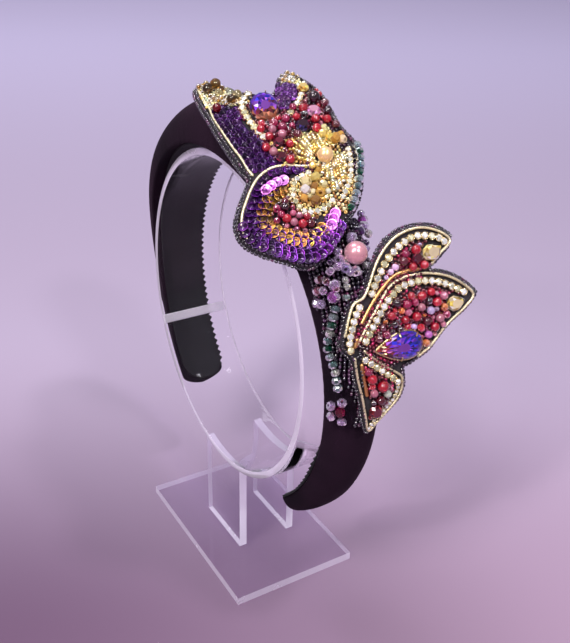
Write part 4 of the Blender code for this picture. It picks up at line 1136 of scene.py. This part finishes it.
bigBeads = {
    # along, across, radius, colour: beads that stand out among the small ones
    "goldLobeBeads": [(66, -24.6, 2.2, "bronze"), (68, -20.8, 2.1, "topaz"), (56.8, -18.4, 1.8, "bronze"),
                      (58.4, -15.4, 1.8, "paleGold"), (62.6, -21.6, 1.6, "paleGold"), (61.4, -17.4, 1.5, "ivory"),
                      (54.2, -25.2, 1.8, "crimson")],
    "crimsonBeads": [(41.4, 4.6, 1.8, "crimson"), (35.0, 6.8, 1.7, "crimson"), (44.8, 10.4, 2.4, "garnet"),
                     (39.0, -3.6, 1.7, "raspberry"), (35.8, -6.2, 1.7, "raspberry"), (37.7, -14.0, 1.6, "crimson"),
                     (32.6, -7.6, 1.7, "rose"), (33.2, -12.4, 1.7, "crimson"), (28.8, -15.4, 1.7, "crimson"),
                     (26.2, -13.6, 1.7, "rose"), (20.8, -9.2, 1.8, "crimson"), (30.6, 5.4, 1.8, "crimson"),
                     (36.8, 12.6, 1.8, "garnet"), (33.2, 10.8, 1.7, "crimson"), (43.6, 1.4, 1.5, "raspberry"),
                     (29.8, 12.8, 1.6, "wine"), (36, -10, 1.6, "rose"), (38.6, 0.6, 1.5, "crimson"),
                     (30.4, -2.4, 1.7, "wine"), (27.4, -6.6, 1.6, "crimson")],
    "heartBeads": [(-0.8, -19.4, 1.7, "crimson"), (3.6, -18.4, 1.7, "garnet"), (-4.4, -14.8, 1.7, "crimson"),
                   (-2.8, -17.4, 1.5, "rose"), (1.4, -20.6, 1.4, "raspberry"), (-5.2, -12, 1.5, "wine"),
                   (0.6, -16.4, 1.2, "pink"), (5.6, -17.4, 1.4, "wine")],
    "rearUpperBeads": [(39.2, 21.8, 1.9, "crimson"), (33.4, 24.2, 1.7, "crimson"), (36, 16.4, 1.7, "wine"),
                       (33.4, 19.6, 1.6, "crimson"), (38.4, 17.6, 1.5, "raspberry")],
    "rearMiddleBeads": [(21.8, 11.2, 1.7, "garnet"), (22.6, 21.4, 1.8, "crimson"), (19.4, 27.2, 1.8, "crimson"),
                        (15.6, 18.4, 1.8, "crimson"), (18.6, 20.8, 1.6, "rose"), (13.2, 22.4, 1.6, "wine"),
                        (10.6, 25.4, 1.7, "crimson"), (16.8, 24.4, 1.6, "lilac"), (13.4, 27.8, 1.7, "rose"),
                        (17.6, 8.6, 1.7, "crimson"), (20.6, 15.2, 1.7, "raspberry"), (8.2, 22.6, 1.5, "magenta"),
                        (23.4, 25.4, 1.6, "crimson"), (15.2, 13.8, 1.6, "crimson"), (21.2, 30.4, 1.6, "rose")],
    "rearLowerBeads": [(-7.4, 2.6, 2.2, "crimson"), (-3.8, -1.4, 1.9, "crimson"), (-1, -2.6, 1.5, "raspberry"),
                       (-10.8, 4.6, 1.5, "clear"), (-12.6, 1.6, 1.8, "wine"), (-9.4, -0.8, 1.6, "rose")],
}
stones = {
    # piece: sheet, slot, (along, across), half along, half across, height, sides, tones
    "roundCrystal": ("front", "violet", (46.3, -9), 5.7, 5.7, 5.4, 14,
                     ["ember", "ember", "wine", "amethyst", "violet", "blue", "violet"]),
    "amberFront": ("front", "amber", (52.6, 9.4), 2.3, 2.3, 2.8, 8, ["amber", "gold"]),
    "navyStone": ("front", "navy", (33.9, 1.3), 3.0, 3.0, 3.4, 10, ["night", "night", "ink"]),
    "topazStone": ("front", "amber", (24.5, 8.6), 2.6, 2.6, 3.0, 8, ["amber", "lemon", "gold"]),
    "pinkDisc": ("front", "lilac", (39.4, 8), 2.8, 2.8, 2.8, 12, ["orchid", "rose"]),
    "garnetUpper": ("front", "garnet", (29.8, -9.9), 2.4, 2.4, 3.0, 8, ["ink", "wine"]),
    "garnetLower": ("front", "garnet", (23.3, -11.4), 2.4, 2.4, 3.0, 8, ["ink", "wine"]),
    "rearAmberUpper": ("rear", "amber", (37.4, 28.3), 3.5, 4.0, 3.4, 7,
                       ["olive", "champagne", "peat", "gold", "champagne"]),
    "rearAmberMiddle": ("rear", "amber", (17.6, 35), 3.2, 3.7, 3.2, 7,
                        ["olive", "champagne", "peat", "lemon", "champagne"]),
    "rearGarnetUpper": ("rear", "garnet", (36.2, 22), 2.4, 2.4, 3.0, 8, ["ink", "wine"]),
    "rearGarnetLower": ("rear", "garnet", (-17, -0.2), 2.8, 2.8, 3.0, 10, ["wine", "garnetRed"]),
}
kiteTurns = {"rearAmberUpper": 1.10, "rearAmberMiddle": 1.38}
kiteRim = [(1.12, 0.0), (0.62, 0.55), (0.05, 0.92), (-0.55, 0.80), (-0.95, 0.30), (-0.95, -0.30), (-0.55, -0.80),
           (0.05, -0.92), (0.62, -0.55)]
stoneColours = {
    "violet": (0.11, 0.02, 0.40), "blue": (0.015, 0.015, 0.34), "amethyst": (0.26, 0.07, 0.48),
    "ember": (0.42, 0.15, 0.08), "amber": (0.75, 0.38, 0.06), "gold": (0.85, 0.62, 0.22),
    "lemon": (0.80, 0.62, 0.12), "olive": (0.46, 0.33, 0.07), "peat": (0.13, 0.08, 0.02),
    "champagne": (0.88, 0.70, 0.44), "night": (0.02, 0.012, 0.07), "ink": (0.03, 0.008, 0.018),
    "wine": (0.14, 0.012, 0.03), "garnetRed": (0.22, 0.015, 0.02), "orchid": (0.66, 0.20, 0.44),
    "rose": (0.78, 0.38, 0.52),
}
drop = {"centre": (6.2, 10.3), "halfLength": 9.2, "halfWidth": 5.9, "sides": 20, "girdle": 2.9,
        "claws": (2, 5, 8, 12, 15, 18), "rounds": ((0.2, 4.2, 5.6), (0, 0, 5.2), (0, -4.4, 3.2), (0, -7.4, 1.4))}
pearls = {"peach": {"place": (17.9, 3.2), "radius": 3.0}, "pink": {"angle": 48.3, "turn": 89, "radius": 4.2}}


def clusterTaken(side):
    # rounds that the stones, cups and pearl of this sheet already fill
    rounds = [(*place, max(halfA, halfC)) for s, _, place, halfA, halfC, *_ in stones.values() if s == side]
    for s, _, radius, points in chains.values():
        if s == side:
            rounds += [(a, c, radius) for a, c in evenly(smoothLine(points, 6), radius * 2.1)]
    if side == "front":
        return rounds + [(*pearls["peach"]["place"], pearls["peach"]["radius"])]
    return rounds + [(drop["centre"][0] + da, drop["centre"][1] + dc, r) for da, dc, r in drop["rounds"]]


def makeClusters():
    rng = random.Random(31)
    for name, (side, finish, slotName, base, radii, colours, outline) in clusters.items():
        batch = Batch()
        sheet = sheets[side]
        shape = smoothLine(outline, 4, closed=True)
        taken = clusterTaken(side)
        for along, across, radius, colour in bigBeads.get(name, []):
            addBead(batch, sheet, along, across, radius, base + 0.3, shade(palette[colour], 0.15, rng), rng, "ball")
            taken.append((along, across, radius))
        for along, across, radius in packInside(shape, radii, rng, 420, taken):
            addBead(batch, sheet, along, across, radius, base + rng.uniform(0, 0.5), anyOf(colours, 0.3, rng), rng,
                    "dropBead" if radius > 1.05 else "seed")
        for along, across, radius in packInside(shape, [0.95, 0.8], rng, 260, margin=0.4):
            # a second layer that fills the gaps from below, darkened to a third as painted shade in the gaps
            addBead(batch, sheet, along, across, radius * 0.9, base - 0.1,
                    tuple(c * 0.35 for c in anyOf(colours, 0.4, rng)), rng)
        batch.build(name, finish, slotName, [nodeOf(name)] + ["crimson_edge_beads"] * (name == "crimsonBeads"))
        print("  ", name, len(batch.places), "beads")


makeClusters()
print("headband: bead clusters sewn")


# Cut stones

def facetTints(shape, tones, rng, axis=None):
    # each facet takes a tone and a painted brightness, a painted glint or shade; with an axis, the tones run in order
    # along it
    points, faces, paintedLights = shape
    tints = []
    for face, bright in zip(faces, paintedLights):
        if axis is None:
            tone = rng.choice(tones)
        else:
            share = (points[list(face)].mean(axis=0)[axis] + 1) / 2 + rng.uniform(-0.22, 0.22)
            tone = tones[min(len(tones) - 1, max(0, int(share * len(tones))))]
        # a random painted glint or shade for each facet, some lit up to 2.6 times
        lift = bright * rng.choice((0.7, 0.9, 1.1, 1.3, 2.6))
        tints.append(tuple(min(1, c * lift) for c in stoneColours[tone]))
    return tints


def makeStones():
    rng = random.Random(41)
    cups = Batch()
    for name, (side, slotName, place, halfA, halfC, height, sides, tones) in stones.items():
        batch = Batch()
        sheet = sheets[side]
        forward, across, up = sheet.ways(place[0])
        rim = roundRim(sides)
        if name in kiteTurns:
            c, s = math.cos(kiteTurns[name]), math.sin(kiteTurns[name])
            rim = [(x*c - y*s, x*s + y*c) for x, y in kiteRim]
        big = name == "roundCrystal"
        levels = [(0.90, 0.16), (0.76, 0.28), (0.52, 0.38), (0.30, 0.42)] if big else [(0.88, 0.24), (0.58, 0.48)]
        shape = brilliant(rim, len(name) + sides, levels)
        girdle = 0.3 + height * (0.62 if big else 0.48)
        spot = sheet.place(*place, girdle)
        if big:
            # it leans towards the wing's root, held by six prongs
            forward, up = unit(forward + up * 0.55), unit(up - forward * 0.55)
            for k in range(6):
                way = swing(forward, across, k * math.pi / 3 + 0.4)
                lean = unit(way * 0.55 + up)
                flat = np.cross(way, lean)
                cups.add(shapes["smallBall"], spot + (way * halfA * 0.94 - up * 0.7) * mm,
                         (flat, np.cross(lean, flat), lean), (0.34, 0.34, 1.9))
        batch.add(shape, spot, (forward, across, up), (halfA, halfC, height * 1.02),
                  facetTints(shape, tones, rng, axis=0 if big else None))
        batch.build(name, "crystal", slotName, smooth=False)
        if name == "topazStone":
            sweepRim(cups, sheet, np.array(roundRim(24)) * halfA + place, 0.38, girdle - 0.4)
    cups.build("stoneSettings", "cup", "gold", [])


def dropRim(scale):
    # the drop's outline round its centre, as (along, across)
    rim = []
    for k in range(drop["sides"]):
        t = fullTurn * k / drop["sides"]
        along = drop["halfWidth"] * 1.12 * math.sin(t) * abs(math.sin(t / 2))**0.9
        rim.append((along * scale, -drop["halfLength"] * math.cos(t) * scale))
    return np.array(rim)


def makeDropCrystal():
    rng = random.Random(47)
    half = drop["halfLength"]
    sheet = sheets["rear"]
    shape = brilliant(dropRim(1.0) / half, 9, [(0.88, 0.11), (0.72, 0.20), (0.50, 0.27), (0.30, 0.30)], girdle=0.08)
    tones = ["garnetRed", "wine", "amethyst", "violet", "blue", "blue", "violet", "blue"]
    batch = Batch()
    batch.add(shape, sheet.place(*drop["centre"], drop["girdle"]), sheet.ways(drop["centre"][0]),
              (half, half, half * 0.95), facetTints(shape, tones, rng, axis=1))
    batch.build("dropCrystal", "crystal", "violet", smooth=False)
    claws = Batch()
    sweepRim(claws, sheet, dropRim(1.03) + drop["centre"], 0.42, 2.0)
    for k in drop["claws"]:
        inner, outer = dropRim(0.80)[k] + drop["centre"], dropRim(1.05)[k] + drop["centre"]
        flat, left, up = sheet.follow(inner[0], unit(outer - inner))
        lean = unit(flat * -0.75 + up * 0.66)
        claws.add(shapes["smallBall"], sheet.place(*((inner + outer) / 2), 3.7), (-left, np.cross(lean, -left), lean),
                  (0.42, 0.34, 1.5))
    claws.build("dropClaws", "cup", "gold", [])


makeStones()
makeDropCrystal()


# Pearls

patch = {"first": 40.0, "last": 88.5, "rearTurn": 44, "frontTurn": 158, "narrowFrom": 68, "narrowest": 112,
         "high": 1.5, "gap": 0.3, "pitch": 1.55, "radius": 0.80}


def patchPlace(angle, turn, radius):
    return bandPoint(angle, turn, patch["high"] + patch["gap"] + radius)


def makePearlPiece(name, centre, radius, slotName):
    batch = Batch()
    batch.add(shapes["pearl"], centre, np.eye(3), radius)
    batch.build(name, name, slotName)


peach, pink = pearls["peach"], pearls["pink"]
makePearlPiece("peachPearl", sheets["front"].place(*peach["place"], 0.3 + peach["radius"]), peach["radius"],
               "pearl_peach")
makePearlPiece("pinkPearl", patchPlace(pink["angle"], pink["turn"], pink["radius"]), pink["radius"], "pearl_pink")
print("headband: stones and pearls set")


# Fans of gold bugles and seed beads round the peach pearl, and the champagne crystals below it

fans = {
    # piece: rows of (start, end, kind)
    "goldFan": [
        ((21.6, 4.6), (28.6, 5.0), "seed"), ((21.6, 3.2), (29.8, 3.0), "bugle"), ((21.2, 2.0), (30.8, 1.0), "bugle"),
        ((21.0, 0.8), (31.6, -1.2), "seed"), ((20.4, -0.2), (31.8, -3.4), "bugle"),
        ((19.6, -0.9), (29.6, -5.4), "bugle"), ((18.8, -1.2), (25.4, -6.6), "seed"),
        ((17.8, -1.4), (21.2, -6.6), "bugle")],
    "bullionFan": [
        ((16.4, 4.6), (3.8, 0.8), "seed"), ((16.4, 5.6), (3.6, 2.2), "bugle"), ((16.6, 6.6), (4.4, 3.8), "bugle"),
        ((16.8, 7.6), (6, 5.6), "seed"), ((17, 8.6), (8.2, 7.2), "bugle"), ((17.4, 9.6), (11, 8.8), "bugle"),
        ((17.8, 10.8), (14, 10.2), "seed"), ((16, 3.4), (9, 0.4), "bugle"), ((16, 2.2), (11.6, -0.6), "seed")],
}
fanBeads = {
    # kind: spacing along the row, size
    "bugle": (2.1 * 1.9, (0.88, 0.88, 2.1 * 0.92)),
    "seed": (1.15, (0.92, 0.92, 0.95)),
}


def makeFans():
    rng = random.Random(53)
    for name, rows in fans.items():
        batch = Batch()
        for start, end, kind in rows:
            spacing, size = fanBeads[kind]
            line = evenly(np.array([start, end], float), spacing)
            for along, across in (line[:-1] + line[1:]) / 2:
                ahead, _, up = sheets["front"].follow(along, np.subtract(end, start))
                axis = unit(ahead + up * rng.uniform(-0.06, 0.06))
                side = np.cross(up, axis)
                tint = anyOf(["paleGold", "gold", "ivory", "paleGold"], 0.2, rng)
                spot = sheets["front"].place(along, across, 1.55 + rng.uniform(-0.1, 0.25))
                batch.add(shapes[kind], spot, (side, np.cross(axis, side), axis), size, tint)
        batch.build(name, "goldBead", "gold")


champagne = {
    "outline": [(12.6, -4.4), (11.4, -8.6), (8, -11.2), (3.8, -11.4), (1.2, -8.4), (1.2, -4), (4, -0.6), (8.6, -0.8),
                (12.4, -1.6)],
    "radii": [1.9, 1.5, 1.15, 0.9], "colours": ["paleGold", "clear", "topaz", "ivory", "gold", "copper"],
    "loose": [(16.2, -2.4, 1.3), (13.8, -1.2, 1.1), (23.8, 9.8, 2.1), (27.4, 6.4, 1.7), (22.6, 12.2, 1.7),
              (30.2, 8.2, 1.3), (25, 12.6, 1.4)],
}


def makeChampagne():
    rng = random.Random(59)
    sheet = sheets["front"]
    outline = smoothLine(champagne["outline"], 4, closed=True)
    batch = Batch()
    for along, across, radius in packInside(outline, champagne["radii"], rng, 360, margin=0.6, tight=0.86):
        tint = anyOf(champagne["colours"], 0.25, rng)
        addBead(batch, sheet, along, across, radius, 0.5 + rng.uniform(0, 0.8), tint, rng, "cutBead")
    for along, across, radius in packInside(outline, [1.0, 0.8], rng, 260, margin=0.3):
        addBead(batch, sheet, along, across, radius, 0.2, shade(palette["gold"], 0.3, rng), rng)
    for along, across, radius in champagne["loose"]:
        addBead(batch, sheet, along, across, radius, 0.6, anyOf(["topaz", "gold", "paleGold"], 0.2, rng), rng,
                "cutBead")
    batch.build("champagneCrystals", "rhinestone", "amber", ["champagne_beads"], smooth=False)


makeFans()
makeChampagne()


# Carpet of small beads that covers the felt between the main features

carpet = {"spacing": 1.5, "jitter": 0.12, "radius": 0.68, "height": 0.35, "margin": 2.6}
sequinRegion = smoothLine([
    (56, -28), (55, -19.4), (51, -17.8), (43, -17.6), (34, -16.2), (27, -14.6), (22.6, -13.4), (19.4, -12),
    (18.6, -6), (14.4, -4.6), (14.4, -12.6), (9.6, -15.4), (4, -15.4), (-1.6, -12), (-3.4, -8), (-3.2, -2.6),
    (-5, 2), (-10.5, -2), (-19, -12), (-20, -18), (-11, -31), (-1, -38), (5, -37), (19, -27), (24, -28),
    (40, -29)], 3, closed=True)
lobeRegion = np.array([(58.4, 0), (57, 5.4), (52, 6.6), (47, 4.6), (43.8, -0.6), (45.6, -3.6), (53, -3.4)])


def frontColours(along, across):
    if insideShape([(along, across)], sequinRegion)[0] or insideShape([(along, across)], lobeRegion)[0]:
        return None
    if along > 53 and across < -10:
        return ["gold", "paleGold", "ivory"]
    if along > 53 and across > -4:
        return ["ivory", "paleGold", "clear"]
    # among the crimson clusters the carpet is dark garnet and wine, partly the beads' own colour, partly painted
    # shade in the gaps
    if along > 31:
        return ["garnet", "wine", "wine"]
    if along > 14 and across < -1:
        return ["gold", "copper", "wine"]
    return ["plumBlack", "plum"] if across > 10.5 else ["gold", "paleGold", "copper"]


def rearColours(along, across):
    if along < 6 and across < -4:
        return ["plumBlack"]
    if edgeDistance([(along, across)], outlines["rear"])[0] < 4.8:
        return None
    # the rest of the carpet is dark wine and garnet, partly the beads' own colour, partly painted shade in the gaps
    # among the crimson beads
    return ["wine", "garnet", "wine", "raspberry"]


def makeCarpet(name, side, coloursAt, rng):
    batch = Batch()
    outline = outlines[side]
    low, high = outline.min(axis=0), outline.max(axis=0)
    spots = []
    row = 0
    y = low[1]
    while y < high[1]:
        x = low[0] + (row % 2) * carpet["spacing"] / 2
        while x < high[0]:
            spots.append((x + rng.uniform(-carpet["jitter"], carpet["jitter"]),
                          y + rng.uniform(-carpet["jitter"], carpet["jitter"])))
            x += carpet["spacing"]
        y += carpet["spacing"] * 0.87
        row += 1
    spots = np.array(spots)
    spots = spots[insideShape(spots, outline) & (edgeDistance(spots, outline) > carpet["margin"])]
    for x, y, r in clusterTaken(side):
        spots = spots[np.hypot(spots[:, 0] - x, spots[:, 1] - y) > r * 0.92]
    for along, across in spots:
        colours = coloursAt(along, across)
        if colours:
            addBead(batch, sheets[side], along, across, carpet["radius"] * rng.uniform(0.9, 1.08), carpet["height"],
                    anyOf(colours, 0.35, rng), rng)
    batch.build(name, "seed", "gold", [])
    print("  ", name, len(batch.places), "beads")


carpetRng = random.Random(67)
makeCarpet("frontCarpet", "front", frontColours, carpetRng)
makeCarpet("rearCarpet", "rear", rearColours, carpetRng)
print("headband: fans and carpets sewn")


# Dark beads in rows over the band between the wings

def makeBeadPatch():
    rng = random.Random(71)
    batch = Batch()
    angle = patch["first"]
    while angle < patch["last"]:
        # the front limit follows the vine down, and the rows end at the rear wing's tip
        past = max(0, angle - patch["narrowFrom"])
        front = max(patch["narrowest"], patch["frontTurn"] - past * 3.4) if past else patch["frontTurn"]
        turn = patch["rearTurn"] + max(0, angle - 60) * 0.9
        while turn < front:
            step = np.linalg.norm(bandPoint(angle, turn + 1.0, 0) - bandPoint(angle, turn, 0)) / mm
            forward, side, up = bandWays(angle, turn)
            tint = shade(palette["plumBlack" if rng.random() < 0.62 else "plum"], 0.55, rng)
            axis = unit(swing(side, forward, rng.uniform(-0.35, 0.35)) + up * rng.uniform(-0.25, 0.25))
            spot = bandPoint(angle + rng.uniform(-0.08, 0.08), turn, patch["radius"] + rng.uniform(0.25, 0.75))
            batch.add(shapes["seed"], spot, square(axis, up), patch["radius"], tint)
            turn += patch["pitch"] / max(step, 0.05)
        angle += patch["pitch"] / (np.linalg.norm(bandPoint(angle + 1, 90, 0) - bandPoint(angle, 90, 0)) / mm)
    batch.build("darkBeadRows", "seed", "felt", ["bead_patch"])
    print("   darkBeadRows", len(batch.places), "beads")


makeBeadPatch()


# Vine of cut beads, flowers, buds and crystals

vine = {
    "upper": [(18.5, 16.3), (15, 15.9), (11.5, 14.6), (8.2, 12.9), (5, 11), (2, 9.1), (-1, 6.8), (-4, 4)],
    "lower": [(58.7, 127), (60.8, 134), (63.2, 140), (65.4, 148), (67.8, 151), (70.4, 147), (72.8, 143),
              (75, 142.5), (77.2, 141)],
    "radius": 1.65,
    "upperTones": ["greyBlue", "emerald", "teal", "teal", "emerald", "greyBlue", "teal", "greyBlue"],
    "lowerTones": ["teal", "greyBlue", "emerald", "clear", "teal", "emerald", "greyBlue", "teal", "clear"],
}


def addThreadedBead(beads, cores, place, axis, up, radius, tint, lengthShare=0.85):
    # a cut bead and the foil-lined thread hole inside it, the hole's tint darkened partly as painted shade
    beads.add(shapes["cutBead"], place, square(axis, up), (radius, radius, radius * lengthShare), tint)
    cores.add(shapes["bugle"], place, square(axis, up), (radius * 0.36, radius * 0.36, radius * 0.66),
              tuple(c * 0.7 for c in tint))


def makeVine():
    rng = random.Random(83)
    cores = Batch()
    sheet, radius = sheets["front"], vine["radius"]
    upper = evenly(smoothLine(vine["upper"], 4), 2.75)
    lower = evenly(smoothLine(vine["lower"], 4), 1.62)
    strings = {
        # piece: replaced node, places, ways out, tones
        "upperVine": ("vine_upper", [sheet.place(a, c, 0.3 + radius) for a, c in upper],
                      [sheet.ways(a)[2] for a, _ in upper], vine["upperTones"]),
        "lowerVine": ("vine_lower", [patchPlace(a, t, radius) for a, t in lower],
                      [bandWays(a, t)[2] for a, t in lower], vine["lowerTones"]),
    }
    for name, (node, places, ups, tones) in strings.items():
        beads = Batch()
        places = evenly(np.array(places), 3.0 * mm)
        for k, (place, way) in enumerate(zip(places, headings(places))):
            up = ups[min(len(ups) - 1, round(k * len(ups) / len(places)))]
            addThreadedBead(beads, cores, place, way, up, radius * rng.uniform(1.02, 1.14),
                            shade(palette[tones[k % len(tones)]], 0.15, rng))
        beads.build(name, "clearGlass", "teal", [node], smooth=False)
    cores.build("vineCores", "foil", "teal", [])


blooms = {
    # piece: radius, places on the patch as (angle, turn), tones
    "buds": (1.8, [(44.5, 84), (43.6, 68), (42.3, 55), (40.6, 47)], ["lilac", "violet", "lilac", "magenta"]),
    "lilacCluster": (1.6, [(51.6, 138), (54, 146), (56.6, 152)], ["wine", "rose", "lilac"]),
    "violetCrystals": (2.0, [(53.6, 120), (56.1, 126)], ["lilac", "magenta"]),
    "flowerDrops": (1.3, [(54.6, 104), (56.8, 108)], ["clear", "greyBlue"]),
}
extraBlooms = [
    # (angle, turn), radius, tone: glass beads round the pink pearl
    ((45.1, 86.6), 1.4, "lilac"), ((47.0, 103), 1.7, "lilac"), ((49.2, 99), 1.6, "clear"),
    ((50.6, 120), 1.8, "lilac"), ((50.0, 109), 1.7, "lilac"), ((51.8, 96), 1.7, "lilac"),
    ((52.2, 88), 1.5, "lilac"), ((51.1, 75), 1.4, "clear"), ((54.2, 137), 1.7, "lilac"),
    ((54.4, 119), 1.7, "rose"), ((57.0, 145), 1.8, "lilac"), ((52.4, 129), 1.6, "wine"),
    ((56.2, 122), 1.7, "lilac"), ((53.2, 104), 1.4, "clear"), ((43.8, 40), 1.7, "clear"),
    ((41.6, 36), 1.5, "magenta"), ((38.6, 39), 1.5, "lilac"), ((47.6, 64), 1.4, "lilac"),
    ((46.2, 60), 1.3, "violet"), ((48.6, 116), 1.4, "violet")]
flowers = {"pearl": {"radius": 2.0, "ring": 6.1, "petals": (98, 168, 3)},
           "lower": {"angle": 83.4, "turn": 138, "radius": 1.8, "ring": 4.1, "petals": (-10, 190, 4)}}


def looseAxis(angle, turn, most, rng):
    # a bead lying anyhow on the patch: its axis and the way out
    forward, side, up = bandWays(angle, turn)
    return unit(swing(forward, side, rng.uniform(0, 3.14)) + up * rng.uniform(0, most)), up


def makeFlower(name, flower, centre, outward, rng, withMiddle=False):
    batch = Batch()
    up = unit(np.cross(outward, np.array([0, 1.0, 0])))
    start, stop, count = flower["petals"]
    for k in range(count):
        away = swing(up, np.cross(outward, up), math.radians(start + (stop - start) * k / (count - 1)))
        lift = unit(away * 0.8 + outward * 0.6)
        batch.add(shapes["cutBead"], centre + away * flower["ring"] * mm, square(lift, away),
                  (flower["radius"] * 1.05, flower["radius"] * 1.05, flower["radius"] * 0.9),
                  shade(palette["lilac"], 0.25, rng))
    if withMiddle:
        batch.add(shapes["ball"], centre, (up, np.cross(outward, up), outward), flower["radius"] * 1.1,
                  palette["raspberry"])
    batch.build(name, "clearGlass", "lilac", smooth=False)


def makeBlooms():
    rng = random.Random(89)
    for name, (radius, spots, tones) in blooms.items():
        batch = Batch()
        for (angle, turn), tone in zip(spots, tones):
            axis, up = looseAxis(angle, turn, 0.5, rng)
            batch.add(shapes["cutBead"], patchPlace(angle, turn, radius), square(axis, up),
                      (radius * 1.12, radius * 1.12, radius), shade(palette[tone], 0.15, rng))
        batch.build(name, "clearGlass", "lilac", smooth=False)
    extra, cores = Batch(), Batch()
    for (angle, turn), radius, tone in extraBlooms:
        axis, up = looseAxis(angle, turn, 0.8, rng)
        addThreadedBead(extra, cores, patchPlace(angle, turn, radius + 0.3), axis, up, radius,
                        shade(palette[tone], 0.15, rng), 0.95)
    extra.build("lilacBeads", "clearGlass", "lilac", [])
    cores.build("lilacCores", "foil", "lilac", [])
    makeFlower("pearlFlower", flowers["pearl"], patchPlace(pink["angle"], pink["turn"], flowers["pearl"]["radius"]),
               innerCurve(pink["angle"])[1], rng)
    lower = flowers["lower"]
    middle = patchPlace(lower["angle"], lower["turn"], lower["radius"])
    makeFlower("lowerFlower", lower, middle, unit(middle - bandPoint(lower["angle"], lower["turn"], 0)), rng, True)


makeVine()
makeBlooms()
print("headband: vine and flowers strung")


# Floor, light and camera

# the paper's colours are painted light and shade: lighter far off, darker towards the camera, and a dark patch at the
# near left as a painted shadow
paper = {"far": (0.65, 0.59, 0.82), "middle": (0.425, 0.352, 0.478), "near": (0.328, 0.225, 0.318),
         "corner": (0.118, 0.064, 0.118), "shadowPlace": (-0.012, -0.133, 0), "ahead": (-0.853, 0.522, 0),
         "half": 12.0, "drop": -0.0002}


def floorShare(tree, place, way, start, stop, measure="DOT_PRODUCT"):
    # how far a floor point lies between two distances, from 0 to 1: along a way, or away from a spot
    reach = addNode(tree, "VectorMath")
    reach.operation = measure
    reach.inputs[1].default_value = way
    tree.links.new(place, reach.inputs[0])
    share = addNode(tree, "MapRange", Value=reach.outputs["Value"], From_Min=start, From_Max=stop)
    share.interpolation_type = "SMOOTHSTEP"
    return share.outputs["Result"]


def makeFloor():
    mesh = bpy.data.meshes.new("floor")
    half = paper["half"]
    mesh.from_pydata([(x, y, paper["drop"]) for x, y in ((-half, -half), (half, -half), (half, half), (-half, half))],
                     [], [(0, 1, 2, 3)])
    floor = bpy.data.objects.new("floor", mesh)
    bpy.context.scene.collection.objects.link(floor)
    material, tree, surface = newFinish("paintedShadeFloor", paper["middle"], Roughness=0.6, Specular_IOR_Level=0.25)
    place = addNode(tree, "TexCoord").outputs["Object"]
    # a painted shadow in the near-left patch, then painted light growing with distance
    colour = mixColours(tree, floorShare(tree, place, paper["shadowPlace"], 0.0, 0.34, "DISTANCE"), paper["corner"],
                        paper["near"])
    for start, stop, tone in ((-0.10, 0.22, "middle"), (0.22, 1.5, "far")):
        colour = mixColours(tree, floorShare(tree, place, paper["ahead"], start, stop), colour, paper[tone])
    tree.links.new(colour, surface["Base Color"])
    mesh.materials.append(material)


lamps = {
    # name: place, target, size, watts, colour
    "keyLamp": ((0.9, -1.6, 2.3), (0.1, 0, 0.1), 0.7, 48, (1.0, 0.97, 0.95)),
    "sideLamp": ((-1.2, -0.4, 3.0), (-0.6, 0.5, 0.0), 1.2, 40, (0.95, 0.94, 1.0)),
    "sparkleLeft": ((0.30, -0.62, 0.62), (0.04, -0.02, 0.19), 0.06, 2.2, (1.0, 0.98, 0.95)),
    "sparkleRight": ((0.62, -0.05, 0.66), (0.06, 0, 0.17), 0.06, 2.2, (1.0, 0.98, 1.0)),
    "sparkleTop": ((0.32, 0.12, 0.78), (0.05, 0, 0.17), 0.06, 1.8, (1.0, 0.97, 1.0)),
}
studio = {"colour": (0.84, 0.78, 0.95, 1), "strength": 0.37}


def makeLamps():
    for name, (place, target, size, watts, colour) in lamps.items():
        lamp = bpy.data.lights.new(name, "AREA")
        lamp.size, lamp.energy, lamp.color = size, watts, colour
        holder = bpy.data.objects.new(name, lamp)
        holder.location = place
        holder.rotation_euler = (Vector(target) - Vector(place)).to_track_quat("-Z", "Y").to_euler()
        bpy.context.scene.collection.objects.link(holder)
    world = bpy.data.worlds.new("studio")
    world.use_nodes = True
    world.node_tree.nodes["Background"].inputs["Color"].default_value = studio["colour"]
    world.node_tree.nodes["Background"].inputs["Strength"].default_value = studio["strength"]
    bpy.context.scene.world = world
    bpy.context.scene.view_settings.view_transform = "Standard"


view = {"place": (310.09, -170.19, 299.68), "azimuth": 58.557, "elevation": 27.228, "roll": 1.31, "lens": 48.96}


def makeCamera():
    az, el, roll = (math.radians(view[k]) for k in ("azimuth", "elevation", "roll"))
    right = np.array([math.cos(az), math.sin(az), 0])
    back = np.array([math.sin(az) * math.cos(el), -math.cos(az) * math.cos(el), math.sin(el)])
    up = np.cross(back, right)
    columns = (swing(right, up, roll), swing(up, -right, roll), back, np.array(view["place"]) * mm)
    camera = bpy.data.objects.new("camera", bpy.data.cameras.new("camera"))
    camera.data.lens = view["lens"]
    camera.data.sensor_width = 36
    camera.data.clip_start = 0.01
    camera.matrix_world = Matrix([*np.transpose(columns).tolist(), (0, 0, 0, 1)])
    bpy.context.scene.collection.objects.link(camera)
    bpy.context.scene.camera = camera


makeFloor()
makeLamps()
makeCamera()
